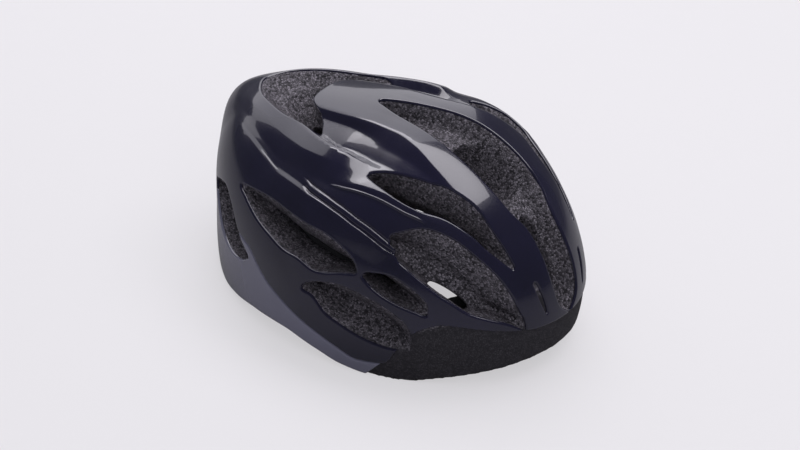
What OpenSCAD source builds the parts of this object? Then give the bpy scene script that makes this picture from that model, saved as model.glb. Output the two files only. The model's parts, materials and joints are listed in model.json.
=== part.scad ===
// Vented bicycle helmet: foam liner, two-piece shell, fit dial with toothed belts, pads, straps and buckle.
// +Z is up, the brow faces -Y and the wearer's right is -X. The table is at z = 0.

/* [Helmet form] */
// Half of the shell's width over the ears
half_w = 108; // [104:0.5:112]
// Height of the head centre over the table
centre_z = 43; // [41:0.5:46]
// Reach from the head centre forward to the brow
reach_brow = 149; // [145:0.5:154]
// Reach 30 degrees up, to the forehead
reach_forehead = 134; // [131:0.5:138]
// Reach 60 degrees up, to the front of the crown
reach_fore_crown = 119.5; // [117:0.5:123]
// Reach straight up, to the crown
reach_crown = 107; // [105:0.5:110]
// Reach to the back of the crown
reach_back_crown = 115; // [113:0.5:118]
// Reach to the tip of the tail
reach_tail = 148; // [144:0.5:152]
// Reach backward, to the nape
reach_nape = 139; // [136:0.5:143]
// Reach 30 degrees under the nape
reach_nape_edge = 147; // [144:0.5:151]

/* [Lower edge] */
// Height of the brow's edge over the table
brow_lift = 19; // [12:0.5:24]
// Height of the arch over the ears
ear_lift = 15; // [8:0.5:20]
// Height of the edge at the nape
nape_lift = 11; // [6:0.5:16]

/* [Shell] */
// Thickness of the shell
skin_t = 1.2; // [0.8:0.1:2]
// Gap between parts that lie on each other
seat_gap = 0.2; // [0.1:0.05:0.3]
// Depth of the valleys beside the crown ridge
valley_depth = 8; // [4:0.5:10]
// Height of the tail ridge
tail_ridge = 3; // [1:0.5:4]

/* [Head cavity] */
// Half of the cavity's width
head_half_w = 80; // [76:0.5:83]
// Half of the cavity's length
head_half_l = 104; // [100:0.5:107]
// Height of the cavity's top over the table
head_top = 116; // [112:0.5:119]
// Height under which the cavity's wall is upright
head_mid_z = 34; // [30:0.5:38]
// Depth to which the foam slopes down in a vent, before the slot through to the head
channel_depth = 22; // [19:0.5:25]

/* [Comfort pads] */
// Thickness of a pad at its middle
pad_t = 7; // [5:0.5:9]
// Thickness of a pad at its edge
pad_edge_t = 2.5; // [2:0.25:4]

/* [Fit dial] */
// Height of the dial's axis over the table
dial_z = 28; // [26:0.5:30]
// Radius of the dial's knob
knob_r = 14; // [12:0.5:16]
// Length of the knob along its axis
knob_h = 9; // [7:0.5:11]
// Number of teeth on the pinion
pinion_teeth = 12; // [11:1:13]
// Tooth size: pitch diameter over number of teeth
tooth_module = 0.9; // [0.85:0.05:0.95]
// Play between the teeth
backlash = 0.3; // [0.2:0.05:0.4]
// Thickness of the toothed belts
belt_t = 3; // [2.4:0.1:3.4]
// Half of the dial housing's width
housing_half_w = 26; // [24:0.5:28]
// Wall of the dial housing
housing_wall = 2; // [1.6:0.1:2.4]
// Distance between the cavity's wall and the band
band_inset = 9; // [8:0.5:11]
// Width of the flexible band
band_w = 10; // [8:0.5:12]
// Thickness of the flexible band
band_t = 1.8; // [1.4:0.1:2.2]
// Radius of the dial's screw
screw_r = 1.6; // [1.4:0.1:2]
// Radial gap of a part that turns on a pin
run_gap = 0.05; // [0.03:0.01:0.08]
// Travel of each belt from rest
belt_travel = 7; // [5:0.5:8]

/* [Cradle height] */
// Width of the cradle's tongue
tongue_w = 14; // [12:0.5:16]
// Thickness of the tongue
tongue_t = 1.6; // [1.2:0.1:2]
// Height of the tongue's end over the table
tongue_top = 70; // [68:0.5:72]

/* [Straps] */
// Width of the webbing
web_w = 15; // [13:0.5:17]
// Thickness of the webbing
web_t = 1.2; // [1:0.1:1.6]
// Height of the front strap's anchor
front_anchor_z = 24; // [22:0.5:26]
// Height of the rear strap's anchor
rear_anchor_z = 20; // [18:0.5:22]
// Distance of a strap divider from the mid-plane
divider_x = 56; // [54:0.5:58]
// Half of the buckle's length
buckle_half_l = 25; // [23:0.5:27]
// Thickness of the buckle
buckle_t = 7.6; // [7:0.1:9]

/* [Hidden] */

// Stations every 30 degrees of pitch: -90 is straight down, 0 forward, 90 up, 180 backward
reach_low = 150;
reaches = [reach_low, 148, reach_low - 2, reach_brow, reach_forehead, reach_fore_crown, reach_crown,
    reach_back_crown, reach_tail, reach_nape, reach_nape_edge, reach_low, reach_low];
squareness = [2, 2, 2, 2, 2.1, 2.25, 2.3, 2.05, 1.75, 1.72, 1.72, 1.85, 2];

// Catmull-Rom value between stations b and c
function blend4(a, b, c, d, t) =
    (2 * b + (c - a) * t + (2 * a - 5 * b + 4 * c - d) * t * t + (3 * b - a - 3 * c + d) * t * t * t) / 2;
function fair_value(list, s) =
    let (i = max(0, min(len(list) - 2, floor(s))), last = len(list) - 1)
    blend4(list[max(0, i - 1)], list[i], list[i + 1], list[min(last, i + 2)], s - i);
function mid_reach(u) = fair_value(reaches, (u + 90) / 30);
function bell(t) = abs(t) < 1 ? pow(1 - t * t, 2) : 0;

// Head centre, set so that the whole helmet lies evenly about y = 0
form_steps = [for (u = [-60:6:240]) u];
front_reach = max([for (u = form_steps) mid_reach(u) * cos(u)]);
rear_reach = max([for (u = form_steps) -mid_reach(u) * cos(u)]);
centre_y = (front_reach - rear_reach) / 2;
centre = [0, centre_y, centre_z];

// Relief of the surface, in mm, at pitch u and side angle v
function valley(u, v) =
    let (middle = lookup(u, [[45, 21], [60, 23], [78, 23.5], [90, 23], [100, 21], [112, 20], [124, 18]]),
        half = lookup(u, [[45, 5], [78, 7], [90, 9], [100, 9.5], [112, 8], [124, 6]]),
        depth = lookup(u, [[42, 0], [52, 0.4], [72, 0.8], [90, 1], [112, 1], [126, 0]]))
    -valley_depth * depth * bell((abs(v) - middle) / half);
function tail_band(u, v) =
    let (middle = lookup(u, [[84, 34], [100, 31], [112, 29], [124, 24], [134, 16], [146, 6]]),
        height = lookup(u, [[78, 0], [96, 0.8], [112, 1], [134, 1], [150, 0]]))
    tail_ridge * height * bell((abs(v) - middle) / 8);
function scoop(u, v) =
    let (middle = lookup(u, [[92, 42], [110, 39.5], [126, 36]]),
        depth = lookup(u, [[90, 0], [102, 3], [116, 4], [128, 0]]))
    -depth * bell((abs(v) - middle) / 8);
function side_ledge(u, v) =
    let (middle = lookup(u, [[44, 48], [58, 50], [76, 52], [98, 50], [117, 43], [130, 36], [142, 24]]),
        height = lookup(u, [[38, 0], [50, 2], [120, 2], [146, 0]]))
    height * bell((abs(v) - middle) / 7);
function relief(u, v) = valley(u, v) + tail_band(u, v) + scoop(u, v) + side_ledge(u, v);

function ray(u, v) = [sin(v), -cos(v) * cos(u), cos(v) * sin(u)];
function plain_reach(u, v) =
    let (n = fair_value(squareness, (u + 90) / 30))
    pow(pow(cos(v) / mid_reach(u), n) + pow(abs(sin(v)) / half_w, n), -1 / n);
function skin_reach(u, v) = plain_reach(u, v) + relief(u, v);
function skin_point(u, v, drop = 0) = centre + (skin_reach(u, v) - drop) * ray(u, v);

// Closed solid inside the helmet's outer surface, sunk by drop. The grid's lines stay off the vents' corners.
columns = 36;
rows = 28;
step_u = 360 / columns;
step_v = 180 / (rows + 1);
first_u = -85.12;
module star_solid(drop) {
    ring = [for (j = [1:rows], i = [0:columns - 1])
        skin_point(first_u + i * step_u, -90 + j * step_v, drop)];
    poles = [centre - [half_w - drop, 0, 0], centre + [half_w - drop, 0, 0]];
    first_pole = rows * columns;
    function at(j, i) = (j - 1) * columns + (i % columns);
    sides = [for (j = [1:rows - 1], i = [0:columns - 1])
        each [[at(j, i), at(j, i + 1), at(j + 1, i)], [at(j + 1, i), at(j, i + 1), at(j + 1, i + 1)]]];
    caps = [for (i = [0:columns - 1])
        each [[first_pole, at(1, i + 1), at(1, i)], [first_pole + 1, at(rows, i), at(rows, i + 1)]]];
    polyhedron(concat(ring, poles), concat(sides, caps));
}

// Lower edge, as height over the table along y from the head centre
edge_line = [[-175, brow_lift], [-150, brow_lift], [-125, brow_lift * 0.7], [-95, brow_lift * 0.3], [-72, 0],
    [-30, 0], [-12, ear_lift * 0.5], [15, ear_lift], [45, ear_lift * 0.8], [75, ear_lift * 0.3], [96, 0],
    [118, 0], [134, nape_lift * 0.6], [150, nape_lift], [175, nape_lift]];
// Lower edge of the glossy upper shell
gloss_line = [[-175, 43], [-149, 43], [-121, 49], [-98, 53], [-84, 47], [-72, 30], [-62, 14], [-43, 12],
    [-28, 18], [20, 39], [33, 45], [43, 52], [56, 61], [80, 64], [175, 62]];
band_start = -60;
span = 200;
module below(line) {
    translate([-span / 2 - half_w, centre_y, 0]) rotate([90, 0, 90])
        linear_extrude(height = span + 2 * half_w)
            polygon(concat([[line[0][0], -span]], line, [[line[len(line) - 1][0], -span]]));
}

// Vent outlines as rungs [pitch, side, pitch, side] from one end of the opening to the other
brow_vent = [[0, 16, 1, 17], [4, 16.5, 4, 21], [8, 18, 7, 27], [13, 19.5, 10, 32], [20, 22, 14, 35.5],
    [29, 26, 20, 40], [36, 29, 28, 44], [41, 32, 34, 46], [46, 36, 40, 47.5], [50, 43, 45, 46]];
crest_vent = [[20, 16, 20, 17], [27, 17, 28, 21.5], [34, 18, 35, 24], [42, 18.5, 44, 28], [50, 21, 52, 33],
    [58, 24.5, 60, 35.5], [66, 27.5, 67, 36], [73, 30, 72, 36], [77, 33, 76, 35.5]];
side_vent = [[144.5, 41, 144.5, 44], [138, 45, 141, 54], [128, 50, 134, 62], [114, 56, 122, 69],
    [98, 59.5, 102, 72], [80, 60, 80, 74], [66, 60, 64, 72], [54, 60, 54, 68], [47, 61, 47, 64]];
temple_vent = [[11, 44, 11.5, 46], [16, 43.5, 16, 51.5], [22, 46, 22, 56], [28, 49, 28, 58.5],
    [34, 52, 34, 60], [39, 56.5, 39, 60.5]];
ear_vent = [[90, 82, 60, 83], [60, 76, 20, 82], [40, 69, 0, 79.5], [28, 64, -9, 73], [16, 57, -12.5, 66],
    [6, 51, -13, 59], [-2, 48.5, -12, 54], [-8, 48.5, -10, 50]];
rear_vent = [[165, 25, 168, 24.5], [158, 33, 174, 29], [156.5, 38, 179, 35], [159, 45, 182, 43],
    [164, 51, 182, 50], [168, 56, 179, 56], [170, 59.5, 173, 59.5]];
nape_vent = [[163, 8, 164, 14], [170, 6.5, 170, 18], [177, 6.5, 177, 20], [183, 8, 183, 18]];
rib_slot = [[3.5, 9, 4, 9.5], [8, 9.7, 8, 10.9], [13.5, 11, 13.5, 12]];
long_vents = [brow_vent, crest_vent, side_vent, ear_vent];
round_vents = [temple_vent, rear_vent, nape_vent];
// Middle openings, which cross the mid-plane: half widths of the long slot, rungs of the tail opening
slot_halves = [[1, 1], [4, 4.2], [10, 5.5], [20, 5.8], [28, 6.5], [36, 9], [50, 10], [64, 9.5], [77, 7.5],
    [88, 5], [97, 1.5]];
crown_slot = [for (s = slot_halves) [s[0], -s[1], s[0], s[1]]];
tail_half = [[122, 0, 142, 0], [122, 5, 140.5, 5], [121, 9, 138, 9], [117, 13, 134, 13], [113, 18, 127, 18],
    [111, 23, 117, 22]];
tail_opening = concat([for (i = [len(tail_half) - 1:-1:1]) let (t = tail_half[i]) [t[0], -t[1], t[2], -t[3]]],
    tail_half);

// Cutters that follow a vent's outline. A layer is [sink depth, share left standing at the first edge, at the
// second edge]. One kind is swept through curved outlines, the other is a convex block for round ones.
function rung_point(rung, share, drop) =
    skin_point(rung[0] + (rung[2] - rung[0]) * share, rung[1] + (rung[3] - rung[1]) * share, drop);
function vent_rings(rungs, layers) =
    [for (r = rungs) each [rung_point(r, layers[0][1], layers[0][0]), rung_point(r, 1 - layers[0][2], layers[0][0]),
        rung_point(r, 1 - layers[1][2], layers[1][0]), rung_point(r, layers[1][1], layers[1][0])]];
function runs_left(rungs) =
    let (r = rungs[1], next = rungs[2]) (next[0] - r[0]) * (r[3] - r[1]) - (next[1] - r[1]) * (r[2] - r[0]) > 0;
function reversed(list) = [for (i = [len(list) - 1:-1:0]) list[i]];
module vent_sweep(rungs, layers) {
    ring_sweep(vent_rings(runs_left(rungs) ? rungs : reversed(rungs), layers), 4);
}
module vent_block(rungs, layers) {
    rings = vent_rings(rungs, layers);
    hull() polyhedron(rings, [[for (i = [0:len(rings) - 1]) i]]);
}
module both_sides() {
    children();
    mirror([1, 0, 0]) children();
}
shell_cut = [[-10, 0, 0], [skin_t + 9, 0, 0]];
module shell_vents() {
    both_sides() {
        for (vent = long_vents) vent_sweep(vent, shell_cut);
        for (vent = concat(round_vents, [rib_slot])) vent_block(vent, shell_cut);
    }
    vent_sweep(crown_slot, shell_cut);
    vent_sweep(tail_opening, shell_cut);
}
// In the foam each vent slopes down from its edge nearer the crown to a slot beside its other edge
slot_start = 5;
through_drop = 66;
slope_cut = [[-5, 0, 0], [channel_depth, 0.5, 0.05]];
slope_slot = [[slot_start, 0.44, 0.12], [through_drop, 0.44, 0.12]];
even_cut = [[-10, 0, 0], [channel_depth - 8, 0.12, 0.12]];
even_slot = [[slot_start, 0.22, 0.22], [through_drop, 0.22, 0.22]];
wide_slot = [[slot_start, 0.1, 0.1], [through_drop, 0.26, 0.26]];
function between(rungs, i, share) = rungs[i] + (rungs[i + 1] - rungs[i]) * share;
function inner_rungs(rungs) =
    let (last = len(rungs) - 1) concat([between(rungs, 0, 0.7)],
        [for (i = [2:2:last - 2]) between(rungs, i, 0.5)], [between(rungs, last - 1, 0.3)]);
module foam_channels() {
    both_sides() {
        for (vent = long_vents) {
            vent_sweep(vent, slope_cut);
            vent_sweep(inner_rungs(vent), slope_slot);
        }
        for (vent = round_vents) {
            vent_block(vent, slope_cut);
            vent_block(inner_rungs(vent), slope_slot);
        }
    }
    vent_sweep(crown_slot, even_cut);
    vent_sweep([for (i = [1:3]) between(crown_slot, i, 0.6)], even_slot);
    vent_block([for (i = [5, 6]) between(crown_slot, i, 0.6)], wide_slot);
    vent_sweep(tail_opening, even_cut);
    vent_sweep(inner_rungs(tail_opening), even_slot);
}

// Head cavity: an egg over upright walls
head_rise = head_top - head_mid_z;
cavity_sides = 48;
round_out = 1 / cos(180 / cavity_sides);
module head_cavity() {
    translate([0, centre_y, 0]) scale([head_half_w * round_out, head_half_l * round_out, 1]) union() {
        translate([0, 0, head_mid_z]) scale([1, 1, head_rise]) sphere(r = 1, $fn = cavity_sides);
        translate([0, 0, -1]) cylinder(r = 1, h = head_mid_z + 1, $fn = cavity_sides);
    }
}
// Air grooves inside the cavity, from brow to nape
groove_r = 7;
groove_side = 34;
module air_grooves() {
    for (side = [-1, 0, 1]) translate([side * groove_side, centre_y, head_mid_z]) rotate([0, 90, 0])
        scale([1, head_half_l / head_rise, 1])
            rotate_extrude($fn = 24) translate([head_rise * (side == 0 ? 1 : 0.9), 0]) circle(r = groove_r, $fn = 6);
}

module foam_liner() {
    color([0.09, 0.09, 0.1]) difference() {
        star_solid(skin_t + seat_gap);
        head_cavity();
        air_grooves();
        below(edge_line);
        foam_channels();
        dial_recess();
        height_anchor_pocket();
        both_sides() {
            temple_plug(seat_gap);
            strap_plate(front_turn, front_anchor_z, seat_gap, plate[0]);
            strap_plate(rear_turn, rear_anchor_z, seat_gap, plate[0]);
        }
    }
}

module outer_shell() {
    color([0.07, 0.07, 0.1]) difference() {
        star_solid(0);
        star_solid(skin_t);
        below(gloss_line);
        shell_vents();
    }
}

module lower_shell() {
    color([0.25, 0.26, 0.33]) difference() {
        star_solid(0);
        star_solid(skin_t);
        below(edge_line);
        above_gloss_line();
        shell_vents();
    }
}
module above_gloss_line() {
    translate([-span / 2 - half_w, centre_y, 0]) rotate([90, 0, 90])
        linear_extrude(height = span + 2 * half_w)
            polygon(concat([[-175, span]], [[-175, -1], [band_start, -1]],
                [for (p = gloss_line) if (p[0] > band_start) p - [0, 0.3]], [[175, span]]));
}

// Point on the cavity's wall: turn from the brow (0) to the nape (180), rise, sunk inward by inset
function wall_point(turn, rise, inset) =
    let (flat = rise > 0 ? cos(rise) : 1,
        z = head_mid_z + (rise > 0 ? (head_rise - inset) * sin(rise) : head_rise * rise * PI / 180))
    [(head_half_w - inset) * sin(turn) * flat, centre_y - (head_half_l - inset) * cos(turn) * flat, z];
// Point on the cavity's vault: pitch over the head from brow to nape, side angle
function vault_point(pitch, side, inset) =
    [(head_half_w - inset) * sin(side), centre_y - (head_half_l - inset) * cos(side) * cos(pitch),
        head_mid_z + (head_rise - inset) * cos(side) * sin(pitch)];
// Direction that the wall faces, outward, as an angle about Z
function wall_angle(turn) = atan2(-cos(turn) / head_half_l, sin(turn) / head_half_w);
module at_wall(turn, z, inset = 0) {
    translate([(head_half_w - inset) * sin(turn), centre_y - (head_half_l - inset) * cos(turn), z])
        rotate([0, 0, wall_angle(turn)]) children();
}

// Crowned pad: spot(a, b, inset) places a point of the pad's own frame
pad_steps = [12, 6];
module pad(spot, along, across) {
    function crown(s, t) = pad_edge_t + (pad_t - pad_edge_t) * (1 - pow(abs(s), 4)) * (1 - pow(abs(t), 4));
    function place(s, t, inset) =
        let (rounding = sqrt(1 - 0.75 * pow(abs(t), 6)))
        spot((along[0] + along[1]) / 2 + (along[1] - along[0]) / 2 * s * rounding,
            (across[0] + across[1]) / 2 + (across[1] - across[0]) / 2 * t, inset);
    across_n = pad_steps[1];
    along_n = pad_steps[0];
    grid = [for (j = [0:across_n], i = [0:along_n]) [2 * i / along_n - 1, 2 * j / across_n - 1]];
    back = [for (g = grid) place(g[0], g[1], seat_gap)];
    face = [for (g = grid) place(g[0], g[1], seat_gap + crown(g[0], g[1]))];
    n = len(grid);
    w = along_n + 1;
    cells = [for (j = [0:across_n - 1], i = [0:along_n - 1]) j * w + i];
    rim = concat([for (i = [0:along_n - 1]) i], [for (j = [0:across_n - 1]) j * w + along_n],
        [for (i = [along_n:-1:1]) across_n * w + i], [for (j = [across_n:-1:1]) j * w]);
    polyhedron(concat(back, face), concat(
        [for (c = cells) each [[c, c + w, c + 1], [c + 1, c + w, c + w + 1]]],
        [for (c = cells) each [[n + c, n + c + 1, n + c + w], [n + c + 1, n + c + w + 1, n + c + w]]],
        [for (k = [0:len(rim) - 1]) let (a = rim[k], b = rim[(k + 1) % len(rim)])
            each [[a, b, n + a], [b, n + b, n + a]]]));
}
on_wall = function (a, b, inset) wall_point(a, b, inset);
on_vault = function (a, b, inset) vault_point(a, b, inset);
pad_color = [0.13, 0.13, 0.14];
module crown_pad() {
    pad(on_vault, [48, 128], [12, 22]);
}
module side_pad() {
    pad(on_wall, [70, 112], [14, 38]);
}
module brow_pad() {
    color(pad_color) pad(on_wall, [-42, 42], [-10, 13]);
}
module crown_pad_right() {
    color(pad_color) mirror([1, 0, 0]) crown_pad();
}
module crown_pad_left() {
    color(pad_color) crown_pad();
}
module side_pad_right() {
    color(pad_color) mirror([1, 0, 0]) side_pad();
}
module side_pad_left() {
    color(pad_color) side_pad();
}

// Fit dial: two belts run over and under a pinion, inside a housing
plastic = [0.1, 0.1, 0.11];
band_half_w = head_half_w - band_inset;
band_half_l = head_half_l - band_inset;
band_last_turn = 125;
belt_y = centre_y + band_half_l * cos(30);
pitch_r = pinion_teeth * tooth_module / 2;
tooth_pitch = PI * tooth_module;
addendum = tooth_module;
dedendum = 1.2 * tooth_module;
pressure = 20;
bar_h = 2.2;
slide_gap = 0.25;
rack_teeth = 11;
rack_half_l = rack_teeth * tooth_pitch / 2;
paddle_start = housing_half_w + belt_travel + 0.6;
paddle_end = paddle_start + 7;

module slab(size, r) {
    for (x = [-1, 1], y = [-1, 1])
        translate([x * (size[0] / 2 - r), y * (size[1] / 2 - r), 0]) cylinder(r = r, h = size[2], $fn = 32);
    translate([-size[0] / 2 + r, -size[1] / 2, 0]) cube([size[0] - 2 * r, size[1], size[2]]);
    translate([-size[0] / 2, -size[1] / 2 + r, 0]) cube([size[0], size[1] - 2 * r, size[2]]);
}
// Children stand in the dial's frame: x to the left of the wearer, y up, z forward from the belts' middle
module in_dial() {
    translate([0, belt_y, dial_z]) rotate([90, 0, 0]) children();
}

// Involute pinion with a tooth straight up
function involute(base, a) = base * [cos(a) + a * PI / 180 * sin(a), sin(a) - a * PI / 180 * cos(a)];
function turned(p, a) = [p[0] * cos(a) - p[1] * sin(a), p[0] * sin(a) + p[1] * cos(a)];
module pinion_outline() {
    base_r = pitch_r * cos(pressure);
    root_r = pitch_r - dedendum;
    outer_r = pitch_r + addendum;
    roll_end = sqrt(pow(outer_r / base_r, 2) - 1) * 180 / PI;
    at_pitch = tan(pressure) * 180 / PI - pressure;
    half_tooth = 90 / pinion_teeth - backlash / 2 / pitch_r * 90 / PI + at_pitch;
    flank = [for (a = [0:roll_end / 4:roll_end + 0.01]) turned(involute(base_r, a), -half_tooth)];
    tooth = concat([turned([root_r, 0], -half_tooth)], flank,
        [for (i = [len(flank) - 1:-1:0]) [flank[i][0], -flank[i][1]]], [turned([root_r, 0], half_tooth)]);
    polygon([for (k = [0:pinion_teeth - 1]) each [for (p = tooth) turned(p, 90 + k * 360 / pinion_teeth)]]);
}
// Toothed bar over the pinion, its gap at x = shift, with a paddle that carries the band
module belt_outline(shift) {
    half_top = tooth_pitch / 4 - backlash / 4 - addendum * tan(pressure);
    half_foot = tooth_pitch / 4 - backlash / 4 + dedendum * tan(pressure);
    root = pitch_r + dedendum;
    for (k = [-(rack_teeth - 1) / 2:(rack_teeth - 1) / 2 - 1])
        translate([shift + (k + 0.5) * tooth_pitch, root])
            polygon([[-half_foot, 0.1], [-half_foot, 0], [-half_top, -addendum - dedendum],
                [half_top, -addendum - dedendum], [half_foot, 0], [half_foot, 0.1]]);
    translate([-paddle_start - 0.1, root]) square([paddle_start + 0.1 + rack_half_l, bar_h]);
    polygon([[-paddle_start, root], [-paddle_start, root + bar_h], [-paddle_end, band_w / 2],
        [-paddle_end, -band_w / 2], [-paddle_end + 2, -band_w / 2]]);
}
module belt_right() {
    color(plastic) in_dial() translate([0, 0, -belt_t / 2])
        linear_extrude(height = belt_t) belt_outline(0);
}
module belt_left() {
    lower_shift = tooth_pitch * (pinion_teeth / 2 - floor(pinion_teeth / 2));
    color(plastic) in_dial() rotate([0, 0, 180]) translate([0, 0, -belt_t / 2])
        linear_extrude(height = belt_t) belt_outline(lower_shift);
}

housing_half_h = pitch_r + dedendum + bar_h + slide_gap + housing_wall + 1.2;
slot_top = pitch_r + dedendum + bar_h + slide_gap;
slot_half_t = belt_t / 2 + slide_gap;
hub_r = pitch_r - dedendum;
module dial_housing() {
    color(plastic) difference() {
        union() {
            in_dial() translate([0, 0, -slot_half_t - housing_wall])
                slab([2 * housing_half_w, 2 * housing_half_h, 2 * slot_half_t + housing_wall], 6);
            translate([-tongue_w / 2, belt_y - tongue_t / 2, dial_z + housing_half_h - 1])
                cube([tongue_w, tongue_t, tongue_top - dial_z - housing_half_h + 1]);
        }
        in_dial() translate([-housing_half_w + housing_wall, -slot_top, -slot_half_t])
            cube([2 * (housing_half_w - housing_wall), 2 * slot_top, 2 * slot_half_t + 1]);
        in_dial() for (side = [-1, 1]) scale([side, side, 1])
            translate([-housing_half_w - 1, pitch_r - addendum - slide_gap, -slot_half_t])
                cube([housing_wall + 2, slot_top - pitch_r + addendum + slide_gap, 2 * slot_half_t + 1]);
        in_dial() translate([0, 0, -slot_half_t - housing_wall - 1])
            cylinder(r = hub_r + run_gap, h = housing_wall + 2, $fn = 48);
        for (k = [0:3]) translate([0, belt_y, tongue_top - 4 - 5 * k]) rotate([90, 0, 0])
            cylinder(r = 1.5, h = 2 * tongue_t, center = true, $fn = 24);
    }
}
module housing_cover() {
    color(plastic) difference() {
        in_dial() translate([0, 0, slot_half_t])
            slab([2 * housing_half_w, 2 * housing_half_h, housing_wall], 6);
        in_dial() cylinder(r = screw_r + run_gap, h = 4 * slot_half_t + housing_wall, $fn = 32);
    }
}
knob_front = slot_half_t + housing_wall + 0.3;
module dial_pinion() {
    color([0.75, 0.75, 0.72]) in_dial() difference() {
        union() {
            translate([0, 0, -belt_t / 2]) linear_extrude(height = belt_t) pinion_outline();
            translate([0, 0, -knob_front]) cylinder(r = hub_r, h = knob_front - belt_t / 2, $fn = 48);
        }
        cylinder(r = screw_r + run_gap, h = 40, center = true, $fn = 32);
    }
}
grip_count = 10;
screw_head_r = 2 * screw_r;
screw_head_h = 1.8;
module dial_knob() {
    color(plastic) in_dial() translate([0, 0, -knob_front - knob_h]) difference() {
        union() {
            translate([0, 0, 1.5]) cylinder(r = knob_r, h = knob_h - 1.5, $fn = 64);
            cylinder(r1 = knob_r - 1.5, r2 = knob_r, h = 1.5, $fn = 64);
        }
        for (k = [0:grip_count - 1]) rotate([0, 0, k * 360 / grip_count])
            translate([knob_r + 1.6, 0, -1]) cylinder(r = 3, h = knob_h - 1, $fn = 24);
        cylinder(r = screw_r + run_gap, h = 4 * knob_h, center = true, $fn = 32);
        translate([0, 0, -1]) cylinder(r = screw_head_r + 0.3, h = 1 + screw_head_h + 0.6, $fn = 32);
    }
}
module dial_screw() {
    color("silver") in_dial() translate([0, 0, -knob_front - knob_h + 0.4]) {
        cylinder(r = screw_head_r, h = screw_head_h, $fn = 32);
        cylinder(r = screw_r, h = knob_h + knob_front + slot_half_t + housing_wall - 0.6, $fn = 32);
    }
}
module cradle_pad() {
    flat = function (a, b, inset)
        [a, belt_y - slot_half_t - housing_wall - inset, dial_z + b];
    color(pad_color) pad(flat, [-housing_half_w + 1, housing_half_w - 1], [-housing_half_h + 1, housing_half_h - 1]);
}
// Space in the foam for the knob and the fingers that turn it
recess_r = 20;
recess_deep = 112;
module dial_recess() {
    for (z = [-recess_r, dial_z + 8]) translate([0, centre_y + 60, z]) rotate([-90, 0, 0])
        cylinder(r = recess_r, h = recess_deep - 60, $fn = 24);
    translate([-recess_r, centre_y + 60, -recess_r]) cube([2 * recess_r, recess_deep - 60, dial_z + 8 + recess_r]);
}

// Bracket in the foam that the tongue slides through
bracket_half_w = tongue_w / 2 + 4;
bracket_z = [58, 68];
bracket_back = 101;
module height_anchor() {
    front = belt_y - tongue_t / 2 - slide_gap - 1.8;
    color(plastic) difference() {
        translate([-bracket_half_w, front, bracket_z[0]])
            cube([2 * bracket_half_w, centre_y + bracket_back - front, bracket_z[1] - bracket_z[0]]);
        translate([-tongue_w / 2 - slide_gap, belt_y - tongue_t / 2 - slide_gap, bracket_z[0] - 1])
            cube([tongue_w + 2 * slide_gap, tongue_t + 2 * slide_gap, bracket_z[1] - bracket_z[0] + 2]);
    }
}
module height_anchor_pocket() {
    translate([-bracket_half_w - seat_gap, centre_y + 60, bracket_z[0] - seat_gap])
        cube([2 * (bracket_half_w + seat_gap), bracket_back - 60 + seat_gap,
            bracket_z[1] - bracket_z[0] + 2 * seat_gap]);
}

// Flexible band from the temple to the belt's paddle
temple_turn = 62;
function curve3(a, b, c, d, t) =
    pow(1 - t, 3) * a + 3 * t * pow(1 - t, 2) * b + 3 * t * t * (1 - t) * c + pow(t, 3) * d;
function band_ellipse(turn) = [band_half_w * sin(turn), centre_y - band_half_l * cos(turn)];
function unit(v) = v / norm(v);
band_bend = band_ellipse(band_last_turn);
band_way = unit([band_half_w * cos(band_last_turn), band_half_l * sin(band_last_turn)]);
band_end = [paddle_end, belt_y];
band_path = concat([for (turn = [temple_turn:9:band_last_turn - 1]) band_ellipse(turn)],
    [for (t = [0:0.2:1]) curve3(band_bend, band_bend + 16 * band_way, band_end + [12, 0],
        band_end + [0.3, 0], t)]);
module band_arm() {
    n = len(band_path);
    function way(i) = unit(band_path[min(n - 1, i + 1)] - band_path[max(0, i - 1)]);
    rings = [for (i = [0:n - 1]) let (side = [way(i)[1], -way(i)[0]] * band_t / 2, p = band_path[i])
        each [for (c = [[1, -1], [1, 1], [-1, 1], [-1, -1]])
            [p[0] + c[0] * side[0], p[1] + c[0] * side[1], dial_z + c[1] * band_w / 2]]];
    ring_sweep(rings, 4);
}
// Closed tube through rings of count points each
module ring_sweep(points, count) {
    rings = len(points) / count;
    polyhedron(points, concat([[for (k = [0:count - 1]) k]],
        [for (i = [0:rings - 2], k = [0:count - 1]) let (a = i * count + k, b = i * count + (k + 1) % count)
            each [[a, a + count, b], [b, a + count, b + count]]],
        [[for (k = [count - 1:-1:0]) (rings - 1) * count + k]]));
}
module band_arm_left() {
    color(plastic) band_arm();
}
module band_arm_right() {
    color(plastic) mirror([1, 0, 0]) band_arm();
}
// Temple clip: the band's end sits in its slot, its plug in the foam
plug_r = 5;
module temple_frame() {
    spot = band_ellipse(temple_turn + 1);
    translate([spot[0], spot[1], dial_z]) rotate([0, 0, wall_angle(temple_turn)]) children();
}
module temple_plug(gap) {
    temple_frame() rotate([0, 90, 0]) cylinder(r = plug_r + gap, h = band_inset + 7 + gap, $fn = 24);
}
module temple_anchor() {
    half_slot = band_t / 2 + 0.4;
    difference() {
        union() {
            temple_plug(0);
            temple_frame() translate([-half_slot - 1.6, -6, -band_w / 2 - 2])
                cube([2 * half_slot + 3.2, 9, band_w + 4]);
        }
        temple_frame() translate([-half_slot, -4, -band_w / 2 - 0.3])
            cube([2 * half_slot, 20, band_w + 0.6]);
    }
}
module temple_anchor_left() {
    color(plastic) temple_anchor();
}
module temple_anchor_right() {
    color(plastic) mirror([1, 0, 0]) temple_anchor();
}

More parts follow.
